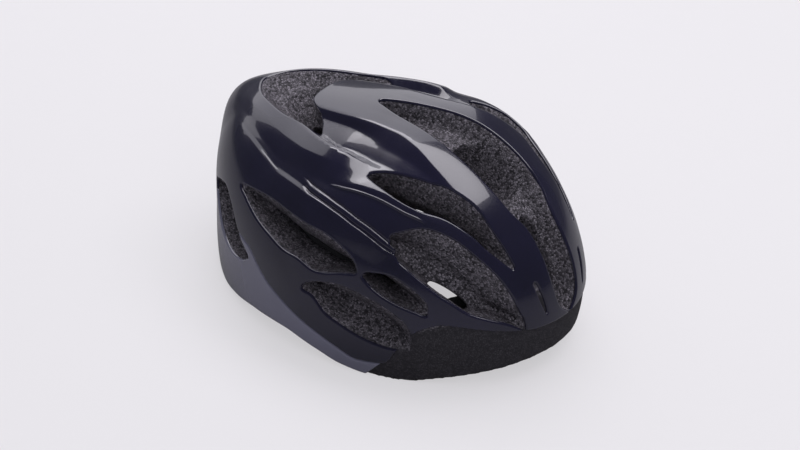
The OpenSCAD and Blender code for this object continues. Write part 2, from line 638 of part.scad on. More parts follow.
// Strap anchors: plates let into the cavity's wall
front_turn = 54;
rear_turn = 130;
plate = [3, 20, 12];
module strap_plate(turn, z, gap = 0, open = 0) {
    at_wall(turn, z) translate([-open, -plate[1] / 2 - gap, -plate[2] / 2 - gap])
        cube([plate[0] + gap + open, plate[1] + 2 * gap, plate[2] + 2 * gap]);
}
module strap_anchor(turn, z) {
    difference() {
        strap_plate(turn, z);
        at_wall(turn, z) translate([-1, -web_w / 2, 2]) cube([plate[0] - 0.6 + 1, web_w, 2.4]);
    }
}
module strap_anchor_front_left() {
    color(plastic) strap_anchor(front_turn, front_anchor_z);
}
module strap_anchor_front_right() {
    color(plastic) mirror([1, 0, 0]) strap_anchor(front_turn, front_anchor_z);
}
module strap_anchor_rear_left() {
    color(plastic) strap_anchor(rear_turn, rear_anchor_z);
}
module strap_anchor_rear_right() {
    color(plastic) mirror([1, 0, 0]) strap_anchor(rear_turn, rear_anchor_z);
}

// Side straps hang down the wall and fold inward onto the table. A point of the unfolded strap lies p along
// the wall, q down from the anchor, and h over the wall or table.
fold_r = 5;
web_color = [0.05, 0.05, 0.055];
strap_gap = 0.3;
function wall_radius(turn) =
    pow(norm([head_half_w * cos(turn), head_half_l * sin(turn)]), 3) / head_half_w / head_half_l;
function folded(turn, top, way, p, q, h) =
    let (out = wall_angle(turn), drop = top - fold_r - strap_gap, arc = fold_r * PI / 2,
        lean = q < drop ? 0 : min(90, (q - drop) / fold_r * 180 / PI),
        flat = max(0, q - drop - arc),
        in = strap_gap + fold_r - (fold_r - h) * cos(lean) + flat + p * p / 2 / wall_radius(turn),
        z = q < drop ? top - q : strap_gap + fold_r - (fold_r - h) * sin(lean),
        x = head_half_w * sin(turn) - in * cos(out) - way * p * sin(out),
        y = centre_y - head_half_l * cos(turn) - in * sin(out) + way * p * cos(out))
    [x, y, z];
module side_strap(turn, top, way, target) {
    foot = [head_half_w * sin(turn), centre_y - head_half_l * cos(turn)];
    out = wall_angle(turn);
    gone = target - foot;
    p_end = way * (gone * [-sin(out), cos(out)]);
    in_end = -(gone * [cos(out), sin(out)]) - p_end * p_end / 2 / wall_radius(turn);
    q_end = top - fold_r - strap_gap + fold_r * PI / 2 + in_end - fold_r - strap_gap;
    slant = atan2(p_end, q_end);
    long = norm([p_end, q_end]);
    steps = 24;
    rings = [for (i = [0:steps]) each [for (c = [[-1, 0], [1, 0], [1, 1], [-1, 1]])
        let (s = long * i / steps, c_off = c[0] * web_w / 2)
        folded(turn, top, way, s * sin(slant) + c_off * cos(slant), max(0, s * cos(slant) - c_off * sin(slant)),
            c[1] * web_t)]];
    ring_sweep(rings, 4);
}
buckle_y = centre_y + 5;
divider_size = [18, 26];
module front_strap() {
    side_strap(front_turn, front_anchor_z, 1, [divider_x + 3, buckle_y - divider_size[1] / 2 + 3]);
}
module rear_strap() {
    side_strap(rear_turn, rear_anchor_z, -1, [divider_x + 3, buckle_y + divider_size[1] / 2 - 3]);
}
module front_strap_left() {
    color(web_color) front_strap();
}
module front_strap_right() {
    color(web_color) mirror([1, 0, 0]) front_strap();
}
module rear_strap_left() {
    color(web_color) rear_strap();
}
module rear_strap_right() {
    color(web_color) mirror([1, 0, 0]) rear_strap();
}

// Chin strap: rises in one loop from the divider to the buckle
divider_edge = divider_x - divider_size[0] / 2;
module chin_strap() {
    start = [divider_edge - 0.9, divider_low + divider_h / 2];
    end = [buckle_half_l + 0.9, 4.2];
    steps = 16;
    rise = 18;
    path = [for (i = [0:steps]) curve3(start, start + [-8, rise], end + [8, rise], end, i / steps)];
    function way(i) = unit(path[min(steps, i + 1)] - path[max(0, i - 1)]);
    rings = [for (i = [0:steps]) let (up = [-way(i)[1], way(i)[0]] * web_t / 2)
        each [for (c = [[-1, -1], [-1, 1], [1, 1], [1, -1]])
            [path[i][0] + c[0] * up[0], buckle_y + c[1] * web_w / 2, path[i][1] + c[0] * up[1]]]];
    ring_sweep(rings, 4);
}
module chin_strap_left() {
    color(web_color) chin_strap();
}
module chin_strap_right() {
    color(web_color) mirror([1, 0, 0]) chin_strap();
}

// Strap divider with its locking lever. The side straps' ends lie under it.
divider_low = strap_gap + web_t + seat_gap;
divider_h = 3.2;
lever_half_w = 8.5;
lever_pin = [-6, 5.5];
lever_pin_r = 1.2;
barrel_r = 2.2;
ear_t = 2;
ear_gap = 0.4;
module at_divider() {
    translate([divider_x, buckle_y, divider_low]) children();
}
module divider() {
    at_divider() difference() {
        union() {
            slab([divider_size[0], divider_size[1], divider_h], 4);
            for (side = [-1, 1])
                translate([lever_pin[0] - 2.3, side * (lever_half_w + ear_gap + ear_t / 2) - ear_t / 2,
                    divider_h - 1])
                    cube([4.6, ear_t, 5.6]);
        }
        translate([lever_pin[0], 0, lever_pin[1]]) rotate([90, 0, 0])
            cylinder(r = lever_pin_r + run_gap, h = 40, center = true, $fn = 32);
        for (side = [-1, 1]) translate([-1, side * 11.4 - 1, -1]) cube([8, 2, divider_h + 3]);
        translate([-1.2, -web_w / 2, -1]) cube([2.4, web_w, divider_h + 3]);
    }
}
module divider_lever() {
    at_divider() {
        translate([lever_pin[0], 0, lever_pin[1]]) rotate([90, 0, 0]) {
            cylinder(r = barrel_r, h = 2 * lever_half_w, center = true, $fn = 32);
            cylinder(r = lever_pin_r, h = 2 * (lever_half_w + ear_gap + ear_t), center = true, $fn = 32);
        }
        translate([lever_pin[0], -lever_half_w, divider_h + 0.3]) cube([14, 2 * lever_half_w, 2]);
        translate([8, 0, divider_h + 1.6]) rotate([90, 0, 0])
            cylinder(r = 1.3, h = 2 * lever_half_w, center = true, $fn = 24);
    }
}
module divider_left() {
    color(plastic) divider();
}
module divider_right() {
    color(plastic) mirror([1, 0, 0]) divider();
}
module divider_lever_left() {
    color([0.3, 0.3, 0.32]) divider_lever();
}
module divider_lever_right() {
    color([0.3, 0.3, 0.32]) mirror([1, 0, 0]) divider_lever();
}

// Side-release buckle, lying on the table in the middle of the cavity
buckle_w = 26;
buckle_low = 0.3;
buckle_mid_z = buckle_low + buckle_t / 2;
mouth_half_w = 10.2;
mouth_half_h = 2.1;
prong_root = [-4.2, 7.9];
prong_root_r = 2.9;
prong_half_t = 1.25;
prong_half_h = 1.8;
prong_long = 16;
hook_start = 9;
hook_end = 12.6;
hook_out = 4.1;
male_face = -1.8;
module in_buckle() {
    translate([0, buckle_y, buckle_mid_z]) children();
}
module buckle_slab(x0, x1) {
    translate([(x0 + x1) / 2, 0, -buckle_t / 2]) slab([x1 - x0, buckle_w, buckle_t], 3.5);
}
module web_slot(x) {
    translate([x - 1, -web_w / 2 - 0.4, -buckle_t]) cube([2, web_w + 0.8, 2 * buckle_t]);
}
module buckle_female() {
    color(plastic) in_buckle() difference() {
        buckle_slab(0, buckle_half_l);
        translate([-1, -mouth_half_w, -mouth_half_h]) cube([17.5, 2 * mouth_half_w, 2 * mouth_half_h]);
        translate([4.2, -buckle_w, -mouth_half_h]) cube([8.4, 2 * buckle_w, 2 * mouth_half_h]);
        web_slot(buckle_half_l - 4.5);
    }
}
module buckle_male() {
    color(plastic) in_buckle() difference() {
        union() {
            buckle_slab(-buckle_half_l, male_face);
            translate([male_face - 2, -2.6, -prong_half_h]) cube([16, 5.2, 2 * prong_half_h]);
        }
        for (side = [-1, 1]) scale([1, side, 1]) {
            translate([prong_root[0], prong_root[1], -prong_half_h - 0.1])
                cylinder(r = prong_root_r + 0.1, h = 2 * prong_half_h + 0.2, $fn = 32);
            translate([prong_root[0], prong_root[1] - 2.4, -prong_half_h - 0.1])
                cube([5, 4, 2 * prong_half_h + 0.2]);
        }
        web_slot(-buckle_half_l + 4.5);
        web_slot(-buckle_half_l + 9);
    }
}
module prong() {
    translate([prong_root[0], prong_root[1], -prong_half_h]) {
        cylinder(r = prong_root_r, h = 2 * prong_half_h, $fn = 32);
        translate([0, -prong_half_t, 0]) cube([prong_long, 2 * prong_half_t, 2 * prong_half_h]);
        linear_extrude(height = 2 * prong_half_h)
            polygon([[hook_start, 0], [hook_start, hook_out], [hook_end, hook_out], [prong_long, prong_half_t],
                [prong_long, 0]]);
    }
}
module buckle_prong_rear() {
    color(plastic) in_buckle() prong();
}
module buckle_prong_front() {
    color(plastic) in_buckle() mirror([0, 1, 0]) prong();
}

foam_liner();
outer_shell();
lower_shell();
brow_pad();
crown_pad_right();
crown_pad_left();
side_pad_right();
side_pad_left();
cradle_pad();
dial_housing();
housing_cover();
dial_knob();
dial_pinion();
dial_screw();
belt_right();
belt_left();
band_arm_right();
band_arm_left();
temple_anchor_right();
temple_anchor_left();
height_anchor();
strap_anchor_front_right();
strap_anchor_front_left();
strap_anchor_rear_right();
strap_anchor_rear_left();
front_strap_right();
front_strap_left();
rear_strap_right();
rear_strap_left();
chin_strap_right();
chin_strap_left();
divider_right();
divider_left();
divider_lever_right();
divider_lever_left();
buckle_female();
buckle_male();
buckle_prong_front();
buckle_prong_rear();
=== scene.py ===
"""Finished look of a vented bicycle helmet, with pads, fit dial, straps and buckle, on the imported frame."""

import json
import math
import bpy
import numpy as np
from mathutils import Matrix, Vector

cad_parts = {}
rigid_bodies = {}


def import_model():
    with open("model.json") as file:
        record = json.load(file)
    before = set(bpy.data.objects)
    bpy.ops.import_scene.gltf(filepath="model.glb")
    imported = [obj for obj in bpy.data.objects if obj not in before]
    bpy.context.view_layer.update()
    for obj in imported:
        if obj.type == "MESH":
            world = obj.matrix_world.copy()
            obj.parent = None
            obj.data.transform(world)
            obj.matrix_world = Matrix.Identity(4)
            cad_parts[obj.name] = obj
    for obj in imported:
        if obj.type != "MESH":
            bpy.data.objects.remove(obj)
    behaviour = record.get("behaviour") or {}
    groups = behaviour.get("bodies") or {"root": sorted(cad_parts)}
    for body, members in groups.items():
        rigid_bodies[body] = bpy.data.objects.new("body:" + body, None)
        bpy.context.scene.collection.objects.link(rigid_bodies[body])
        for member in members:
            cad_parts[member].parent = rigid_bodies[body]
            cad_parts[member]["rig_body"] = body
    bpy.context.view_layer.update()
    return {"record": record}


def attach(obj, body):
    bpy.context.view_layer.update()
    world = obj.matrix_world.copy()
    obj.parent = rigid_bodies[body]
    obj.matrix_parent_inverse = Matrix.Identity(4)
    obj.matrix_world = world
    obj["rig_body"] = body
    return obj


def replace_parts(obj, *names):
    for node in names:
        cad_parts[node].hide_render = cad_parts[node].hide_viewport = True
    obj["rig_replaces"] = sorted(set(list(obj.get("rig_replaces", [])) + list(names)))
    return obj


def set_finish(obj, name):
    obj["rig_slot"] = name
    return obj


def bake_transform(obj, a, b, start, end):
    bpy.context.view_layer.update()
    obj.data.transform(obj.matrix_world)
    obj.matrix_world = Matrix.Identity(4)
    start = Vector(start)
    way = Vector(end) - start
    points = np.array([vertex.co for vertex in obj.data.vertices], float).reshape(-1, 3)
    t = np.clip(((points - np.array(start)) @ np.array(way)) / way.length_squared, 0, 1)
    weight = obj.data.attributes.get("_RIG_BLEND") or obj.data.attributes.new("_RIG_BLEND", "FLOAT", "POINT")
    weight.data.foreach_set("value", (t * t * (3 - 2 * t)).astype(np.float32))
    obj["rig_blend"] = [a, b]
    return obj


bl_info = {
    "name": "Bicycle helmet",
    "version": (1, 0, 0),
    "blender": (4, 5, 0),
    "location": "3D View > Sidebar > Helmet",
    "description": "Builds the finished pieces of a vented bicycle helmet on its packed frame",
    "category": "Add Mesh",
}

import bmesh
import bpy
import numpy as np
from bpy.props import FloatProperty, FloatVectorProperty, IntProperty, PointerProperty
from mathutils import Matrix, Vector, geometry, kdtree

for stray in list(bpy.data.objects):
    bpy.data.objects.remove(stray)
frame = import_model()
MM = 0.001


# Helmet form
# All sizes in this part are millimetres and degrees. Pitch u runs over the head from -90 (down) through
# 0 (brow), 90 (crown) and 180 (nape); side angle v is -90 at the wearer's right ear, 90 at the left.
CENTRE_Z = 43.0
HALF_W = 108.0
REACHES = (150, 148, 148, 149, 134, 119.5, 107, 115, 148, 139, 147, 150, 150)
SQUARENESS = (2, 2, 2, 2, 2.1, 2.25, 2.3, 2.05, 1.75, 1.72, 1.72, 1.85, 2)


def fair_value(values, s):
    """Catmull-Rom value of a list of stations at the positions s."""
    values = np.asarray(values, float)
    i = np.clip(np.floor(s).astype(int), 0, len(values) - 2)
    t = s - i
    a, b = values[np.maximum(i - 1, 0)], values[i]
    c, d = values[i + 1], values[np.minimum(i + 2, len(values) - 1)]
    return (2 * b + (c - a) * t + (2 * a - 5 * b + 4 * c - d) * t * t + (3 * b - a - 3 * c + d) * t ** 3) / 2


def mid_reach(u):
    return fair_value(REACHES, (u + 90) / 30)


_pitches = np.arange(-60, 241, 6.0)
_forward = mid_reach(_pitches) * np.cos(np.radians(_pitches))
CENTRE_Y = (np.max(_forward) - np.max(-_forward)) / 2
CENTRE = np.array([0.0, CENTRE_Y, CENTRE_Z])


def along(u, pairs):
    """Smooth value through (position, value) pairs, with no overshoot, and level past their ends."""
    x, y = np.asarray(pairs, float).T
    step = np.diff(x)
    slope = np.diff(y) / step
    before, after = slope[:-1], slope[1:]
    same = before * after > 0
    middle = np.where(same, 2 * before * after / np.where(same, before + after, 1), 0)
    lean = np.concatenate([[0], middle, [0]])
    i = np.clip(np.searchsorted(x, u, side="right") - 1, 0, len(step) - 1)
    t = np.clip((u - x[i]) / step[i], 0, 1)
    return (y[i] * (1 + 2 * t) * (1 - t) ** 2 + step[i] * lean[i] * t * (1 - t) ** 2
            + y[i + 1] * t * t * (3 - 2 * t) + step[i] * lean[i + 1] * t * t * (t - 1))


def bell(t):
    return np.where(np.abs(t) < 1, (1 - np.clip(t, -1, 1) ** 2) ** 2, 0.0)


# Creases of the shell from the crown towards the ear, as (pitch, side angle, height in mm) points. Between
# two neighbours the shell is one plain panel.
CREASES = (
    ((14, 8, 0), (40, 9.5, 0), (60, 9.5, 0), (80, 8, 0), (112, 7, 0), (130, 4, 0.6), (142, 2, 1.6),
     (152, 1.5, 0)),
    ((14, 15.5, 0), (20, 16, 0.6), (30, 17.2, 1.5), (40, 18.6, 2), (50, 20.8, 2), (60, 20, 1.8),
     (70, 17.4, 1.5), (80, 15.2, 1), (100, 14.6, 0.3), (112, 13.4, 0), (130, 8, 0.6), (142, 4, 1.6),
     (152, 3, 0)),
    ((40, 24, 0), (50, 23.6, 0), (60, 22.8, -1.6), (70, 22.2, -4), (80, 21.8, -5.4), (90, 19, -5),
     (100, 17.4, -5), (112, 16, -5), (130, 10, 0.2), (142, 5, 1.6), (152, 4, 0)),
    ((40, 25, 0), (50, 25.5, 0), (60, 27, -2.4), (70, 28, -5.4), (80, 28.6, -7), (90, 28.8, -7.2),
     (100, 27.8, -7), (110, 24, -6), (120, 18.5, -3), (130, 12, 0.4), (142, 6, 1.6), (152, 5, 0)),
    ((40, 26, 0), (50, 27.5, 0), (60, 30, -1.8), (70, 30.8, -4.2), (80, 31, -5), (87, 31, -2.5),
     (92, 30.8, 1.2), (100, 29.6, 1.8), (110, 26.2, 1.8), (120, 21, 1.6), (130, 15.8, 1.6), (142, 7, 1.6),
     (152, 6, 0)),
    ((40, 28, 0), (50, 31.5, 0.2), (60, 34.4, 0.2), (70, 36, -0.6), (80, 36.2, -2), (87, 36, -0.6),
     (92, 36, 1.4), (100, 35.6, 1.8), (110, 33.8, 1.8), (120, 29, 1.6), (130, 21.8, 1.6), (138, 14.6, 1.6),
     (145, 9, 1.2), (152, 7, 0)),
    ((38, 28.6, 0), (46, 31.8, 0.9), (56, 35.2, 1.4), (68, 38, 1.5), (76, 39.7, 1.4), (84, 41.3, 0.8),
     (91, 41.6, 0.2), (100, 39.8, -0.2), (109, 38.2, -0.5), (117, 36.3, -0.7), (124, 33.4, -0.7),
     (131, 27.5, -0.4), (139, 18.6, 0), (146, 12.5, 0), (152, 9, 0)),
    ((38, 31, 0), (46, 34.4, 0), (56, 37.8, 0), (68, 40.6, 0), (76, 42.2, 0), (84, 43.6, -0.2),
     (91, 43.9, -0.6), (100, 43, -1.1), (109, 41, -1.4), (117, 38.6, -1.5), (124, 35.6, -1.4),
     (131, 29.5, -1), (139, 20.5, -0.3), (146, 14, 0), (152, 10, 0)),
    ((40, 45, 0), (46, 46.4, 0.9), (52, 47.6, 1.6), (60, 49.2, 2), (70, 50, 2), (80, 49.8, 1.7),
     (90, 49.3, 1.1), (100, 48.4, -0.2), (109, 45.9, -1.2), (117, 42.9, -1.6), (124, 39.5, -1.5),
     (131, 33.1, -1.1), (139, 24.1, -0.4), (146, 16, 0), (152, 11, 0)),
    ((40, 47, 0), (46, 48.6, 0.8), (52, 50, 1.6), (60, 51.5, 2), (70, 52.4, 2.1), (80, 52.1, 1.9),
     (90, 51.4, 1.5), (100, 49.7, 0.8), (109, 46.8, 0.1), (117, 43.8, -0.2), (124, 40.4, -0.3),
     (131, 34, -0.2), (139, 25, 0), (146, 17, 0), (152, 12, 0)),
)
# Side angle over which the height of the last crease fades out
LEDGE_SPREAD = 7.0
# Shifts of the side angle that round the creases, and the share of each
CREASE_ROUND = ((-0.7, 0.16), (-0.35, 0.22), (0.0, 0.24), (0.35, 0.22), (0.7, 0.16))
# Thin ribs (raised) and grooves (sunk) beside the creases: points, height and width in mm
CRESTS = (
    (((37, 45.2), (48, 48.7), (60, 50.4), (70, 51.2), (80, 51), (90, 50.2), (100, 48.6), (108, 45.8)),
     -1.3, 1.0),
    (((38, 43), (48, 46.4), (60, 48), (70, 48.8), (80, 48.6), (90, 47.6), (100, 45.8), (108, 43.2)),
     -0.9, 0.8),
    (((44, 33.6), (56, 37.4), (68, 40.1), (76, 41.8), (84, 43.3), (92, 44)), 0.9, 0.8),
)
# Mean length on the skin of a degree of side angle, in mm, and the pitch over which a crest fades in
MM_PER_DEGREE, CREST_FADE = 2.1, 7.0
# Squared tip of the tail: height in mm, pitch of its middle, half its spread in pitch and in side angle
TIP_HEIGHT, TIP_PITCH, TIP_LONG, TIP_WIDE = 6, 153, 12, 15


def crest_offset(u, v, points):
    """Signed distance in mm from a crest line, and a share that rises from 0 at its ends to 1."""
    middle = along(u, points)
    lean = along(u + 1, points) - along(u - 1, points)
    side = np.cos(np.radians(np.clip(middle, 0, 89)))
    gap = (np.abs(v) - middle) * MM_PER_DEGREE / np.sqrt(1 + (lean / 2 / side) ** 2)
    ends = np.minimum(u - points[0][0], points[-1][0] - u)
    return gap, np.clip(ends / CREST_FADE, 0, 1)


def crease_side(points):
    """The (pitch, side angle) pairs of a crease."""
    return [(p[0], p[1]) for p in points]


def relief(u, v):
    """Height of the shell's panels and of the tail's squared tip over the plain egg, in mm."""
    w = np.abs(v)
    places = [np.zeros(np.shape(u))] + [along(u, crease_side(line)) for line in CREASES]
    heights = [along(u, [(p[0], p[2]) for p in line]) for line in CREASES]
    places.append(places[-1] + LEDGE_SPREAD)
    heights = [heights[0]] + heights + [np.zeros(np.shape(u))]
    total = np.zeros(np.shape(u))
    for shift, share in CREASE_ROUND:
        x = np.abs(w + shift)
        for k in range(len(places) - 1):
            t = (x - places[k]) / (places[k + 1] - places[k])
            panel = heights[k] + (heights[k + 1] - heights[k]) * t
            total = total + share * np.where((t >= 0) & (t < 1), panel, 0)
    return total + TIP_HEIGHT * bell((u - TIP_PITCH) / TIP_LONG) * bell(w / TIP_WIDE)


def crests(u, v):
    total = np.zeros(np.shape(u))
    for points, height, width in CRESTS:
        gap, fade = crest_offset(u, v, points)
        total = total + height * fade * fade * (3 - 2 * fade) * np.exp(-(gap / width) ** 2)
    return total


def ray(u, v):
    ur, vr = np.radians(u), np.radians(v)
    return np.stack([np.sin(vr), -np.cos(vr) * np.cos(ur), np.cos(vr) * np.sin(ur)], axis=-1)


def reach(u, v, fine=True):
    n = fair_value(SQUARENESS, (u + 90) / 30)
    vr = np.radians(v)
    r = (np.abs(np.cos(vr) / mid_reach(u)) ** n + np.abs(np.sin(vr) / HALF_W) ** n) ** (-1 / n) + relief(u, v)
    return r + crests(u, v) if fine else r


def skin(u, v, drop=0.0, fine=True):
    u, v = np.asarray(u, float), np.asarray(v, float)
    return CENTRE + (reach(u, v, fine) - drop)[..., None] * ray(u, v)


def skin_normal(u, v, fine=True):
    step = 0.12
    a = skin(u + step, v, 0, fine) - skin(u - step, v, 0, fine)
    b = skin(u, v + step, 0, fine) - skin(u, v - step, 0, fine)
    n = np.cross(b, a)
    n /= np.linalg.norm(n, axis=-1, keepdims=True)
    flip = np.sum(n * ray(u, v), axis=-1) < 0
    n[flip] *= -1
    return n


def pitch_of(y, z):
    """Pitch, from -90 to 270, of a direction with the given y and z."""
    u = np.degrees(np.arctan2(z, -y))
    return np.where(u < -90, u + 360, u)


def angles(points):
    """Pitch and side angle of points, from the head centre."""
    d = points - CENTRE
    d = d / np.linalg.norm(d, axis=-1, keepdims=True)
    return pitch_of(d[..., 1], d[..., 2]), np.degrees(np.arcsin(np.clip(d[..., 0], -1, 1)))


# Lower edge and the seam between the shells, as height over the table along y from the head centre
EDGE_LINE = ((-175, 19), (-150, 19), (-125, 13.3), (-95, 5.7), (-72, 0), (-52, 0), (-30, 2.8), (-12, 8.8),
             (15, 15), (45, 12), (75, 4.5), (96, 0), (118, 0), (134, 6.6), (150, 11), (175, 11))
GLOSS_LINE = ((-175, 43), (-149, 43), (-121, 49), (-98, 53), (-84, 47), (-72, 30), (-62, 14), (-43, 12),
              (-28, 18), (20, 39), (33, 45), (43, 52), (56, 61), (80, 64), (175, 62))
# Front end of the lower shell, along y from the head centre, at the seam and at the edge
SEAM_START, EDGE_START = -60.0, -49.0

# Vent outlines as rungs (pitch, side, pitch, side): the near edge first, then the edge nearer the ear
VENTS = {
    "brow": ((0, 16, 1, 17), (4, 16.5, 4, 21), (8, 18, 7, 27), (13, 19.5, 10, 32), (20, 22, 14, 35.5),
             (29, 26, 20, 40), (36, 29, 28, 44), (41, 32, 34, 46), (46, 36, 40, 47.5), (50, 43, 45, 46)),
    "crest": ((20, 16, 20, 17), (27, 17, 28, 21.5), (34, 18, 35, 24), (42, 18.5, 44, 28), (50, 21, 52, 33),
              (58, 24.5, 60, 35.5), (66, 27.5, 67, 36), (73, 30, 72, 36), (77, 33, 76, 35.5)),
    "side": ((144.5, 41, 144.5, 44), (138, 45, 141, 54), (128, 50, 134, 62), (114, 56, 122, 69),
             (98, 59.5, 102, 72), (80, 60, 80, 74), (66, 60, 64, 72), (54, 60, 54, 68), (47, 61, 47, 64)),
    "temple": ((11, 44, 11.5, 46), (16, 43.5, 16, 51.5), (22, 46, 22, 56), (28, 49, 28, 58.5),
               (34, 52, 34, 60), (39, 56.5, 39, 60.5)),
    "ear": ((90, 82, 60, 83), (60, 76, 20, 82), (40, 69, 0, 79.5), (28, 64, -9, 73), (16, 57, -12.5, 66),
            (6, 51, -13, 59), (-2, 48.5, -12, 54), (-8, 48.5, -10, 50)),
    "rear": ((165, 25, 168, 24.5), (158, 33, 174, 29), (156.5, 38, 179, 35), (159, 45, 182, 43),
             (164, 51, 182, 50), (168, 56, 179, 56), (170, 59.5, 173, 59.5)),
    "nape": ((163, 8, 164, 14), (170, 6.5, 170, 18), (177, 6.5, 177, 20), (183, 8, 183, 18)),
    "rib": ((3.5, 9, 4, 9.5), (8, 9.7, 8, 10.9), (13.5, 11, 13.5, 12)),
}
SLOT_HALVES = ((1, 1), (4, 4.2), (10, 5.5), (20, 5.8), (28, 6.5), (36, 9), (50, 10), (64, 9.5), (77, 7.5),
               (88, 5), (97, 1.5))
TAIL_HALF = ((122, 0, 142, 0), (122, 5, 140.5, 5), (121, 9, 138, 9), (117, 13, 134, 13), (113, 18, 127, 18),
             (111, 23, 117, 22))
# Holes through the foam under the centre slot: first and last pitch, share left standing on each side at the
# top and at the foot. Where the last pitch is 0, the hole is nearly as long as its vent.
SLOT_HOLES = ((7, 25, 0.22, 0.22), (43.5, 57, 0.06, 0.24))
TAIL_HOLES = ((0, 0, 0.22, 0.22),)
# Through-slit of the left brow vent: pitch and side angle of its middle, its axis, and its
# long and short half axes in mm
BROW_SLIT = ((18, 37), (-0.713, 0.449, -0.539), (-0.239, -0.879, -0.416), (-0.66, -0.168, 0.734), (17, 3.6))
# Layers of the foam's cutters, top first: drop in mm, share off the first edge, share off the second
CENTRE_CHANNEL = ((-8, 0, 0), (3, 0.02, 0.02), (14, 0.12, 0.12))
SIDE_CHANNEL = ((-6, -0.02, 0), (2.5, 0.03, 0.01), (8, 0.16, 0.02), (15, 0.34, 0.04), (22, 0.5, 0.06))
SIDE_HOLE = ((5, 0.5, 0.12), (66, 0.52, 0.12))
EAR_HOLE = ((5, 0.72, 0.16), (66, 0.8, 0.16))
CENTRE_VENTS = {
    "slot": tuple((u, -v, u, v) for u, v in SLOT_HALVES),
    "tail": tuple((t[0], -t[1], t[2], -t[3]) for t in TAIL_HALF[:0:-1]) + TAIL_HALF,
}


def dense_rungs(rungs, per=7):
    """Smooth rungs through the given ones, with rounded ends."""
    rungs = np.array(rungs, float)
    s = np.linspace(0, len(rungs) - 1, (len(rungs) - 1) * per + 1)
    fair = np.stack([fair_value(rungs[:, k], s) for k in range(4)], axis=1)

    def end_cap(first, second):
        middle, half = (first[:2] + first[2:]) / 2, (first[2:] - first[:2]) / 2
        out = middle - (second[:2] + second[2:]) / 2
        scale = np.array([np.cos(np.radians(min(abs(middle[1]), 80))), 1.0])
        out = out / max(np.linalg.norm(out * scale), 1e-6) * np.linalg.norm(half * scale)
        caps = []
        for angle in (25, 50, 72):
            c, r = middle + out * math.sin(math.radians(angle)), half * math.cos(math.radians(angle))
            caps.append(np.concatenate([c - r, c + r]))
        return caps

    head, foot = end_cap(fair[0], fair[per]), end_cap(fair[-1], fair[-1 - per])
    return np.array(head[::-1] + list(fair) + foot)


def all_vents():
    """Every vent as (name, dense rungs), both sides."""
    for name, rungs in VENTS.items():
        dense = dense_rungs(rungs)
        yield name + "_left", dense
        yield name + "_right", dense * np.array([1, -1, 1, -1])
    for name, rungs in CENTRE_VENTS.items():
        yield name, dense_rungs(rungs)


def outline(dense, rounding=2.6, step=0.6):
    """The closed outline of a vent, with its corners rounded over some millimetres."""
    loop = even_steps(np.concatenate([dense[:, :2], dense[::-1, 2:]]), step)
    ring = np.arange(len(loop))
    away = np.minimum(ring, len(loop) - ring) * step / rounding
    weight = np.exp(-away ** 2)
    spectrum = np.fft.rfft(loop, axis=0) * np.fft.rfft(weight / weight.sum())[:, None]
    return np.fft.irfft(spectrum, len(loop), axis=0)


def even_steps(loop, step, closed=True):
    """The same line on the skin with points about one step apart, as (pitch, side)."""
    p = skin(loop[:, 0], loop[:, 1], 0, False)
    if closed:
        loop, p = np.vstack([loop, loop[:1]]), np.vstack([p, p[:1]])
    far = np.concatenate([[0], np.cumsum(np.linalg.norm(np.diff(p, axis=0), axis=1))])
    n = max(6, int(round(far[-1] / step)))
    s = np.linspace(0, far[-1], n + 1)[: n if closed else n + 1]
    q = np.stack([np.interp(s, far, p[:, k]) for k in range(3)], axis=1)
    u, v = angles(q)
    return np.stack([u, v], axis=1)


def level_line(line, drop=0.0, start=None):
    """The right and left halves of a line of heights on the skin, from the brow to the nape."""
    y = np.arange(-174.5, 174.6, 0.5)
    z = along(y, line) - drop - CENTRE_Z
    u = pitch_of(y, z)
    far = np.hypot(y, z)
    keep = far < reach(u, np.zeros(len(u)), False)
    if start is not None:
        keep &= y >= start
    u, far = u[keep], far[keep]
    low, high = np.zeros(len(u)), np.full(len(u), 89.9)
    for _ in range(40):
        mid = (low + high) / 2
        inside = reach(u, mid, False) * np.cos(np.radians(mid)) > far
        low, high = np.where(inside, mid, low), np.where(inside, high, mid)
    half = np.stack([u, low], axis=1)
    ends = [half]
    if start is None:
        ends = [[[u[0], 0.0]]] + ends
    return np.vstack(ends + [[[u[-1], 0.0]]])


def ring_round(half):
    """Closed loop from one half line and its mirror image."""
    return np.vstack([half, (half * [1, -1])[-2:0:-1]])


# Mesh helpers
def add_mesh(name, points, faces, material, normals=None):
    mesh = bpy.data.meshes.new(name)
    mesh.from_pydata((np.asarray(points) * MM).tolist(), [], [list(map(int, f)) for f in faces])
    mesh.validate()
    mesh.polygons.foreach_set("use_smooth", [True] * len(mesh.polygons))
    if normals is not None:
        mesh.normals_split_custom_set_from_vertices(np.asarray(normals).tolist())
    mesh.update()
    piece = bpy.data.objects.new(name, mesh)
    bpy.context.scene.collection.objects.link(piece)
    if material is not None:
        mesh.materials.append(material)
    return piece


def to_plane(u, v):
    """Stereographic view of the directions from straight below, which keeps small shapes."""
    d = ray(u, v)
    return d[:, :2] / (1 + d[:, 2:3])


def from_plane(s):
    r2 = np.sum(s * s, axis=1)
    z = (1 - r2) / (1 + r2)
    xy = s * (1 + z)[:, None]
    return pitch_of(xy[:, 1], z), np.degrees(np.arcsin(np.clip(xy[:, 0], -1, 1)))


def unit(rows):
    return rows / (np.linalg.norm(rows, axis=1, keepdims=True) + 1e-9)


def point_tree(points):
    """Search for the nearest of some points."""
    tree = kdtree.KDTree(len(points))
    for i, p in enumerate(points):
        tree.insert(p, i)
    tree.balance()
    return tree


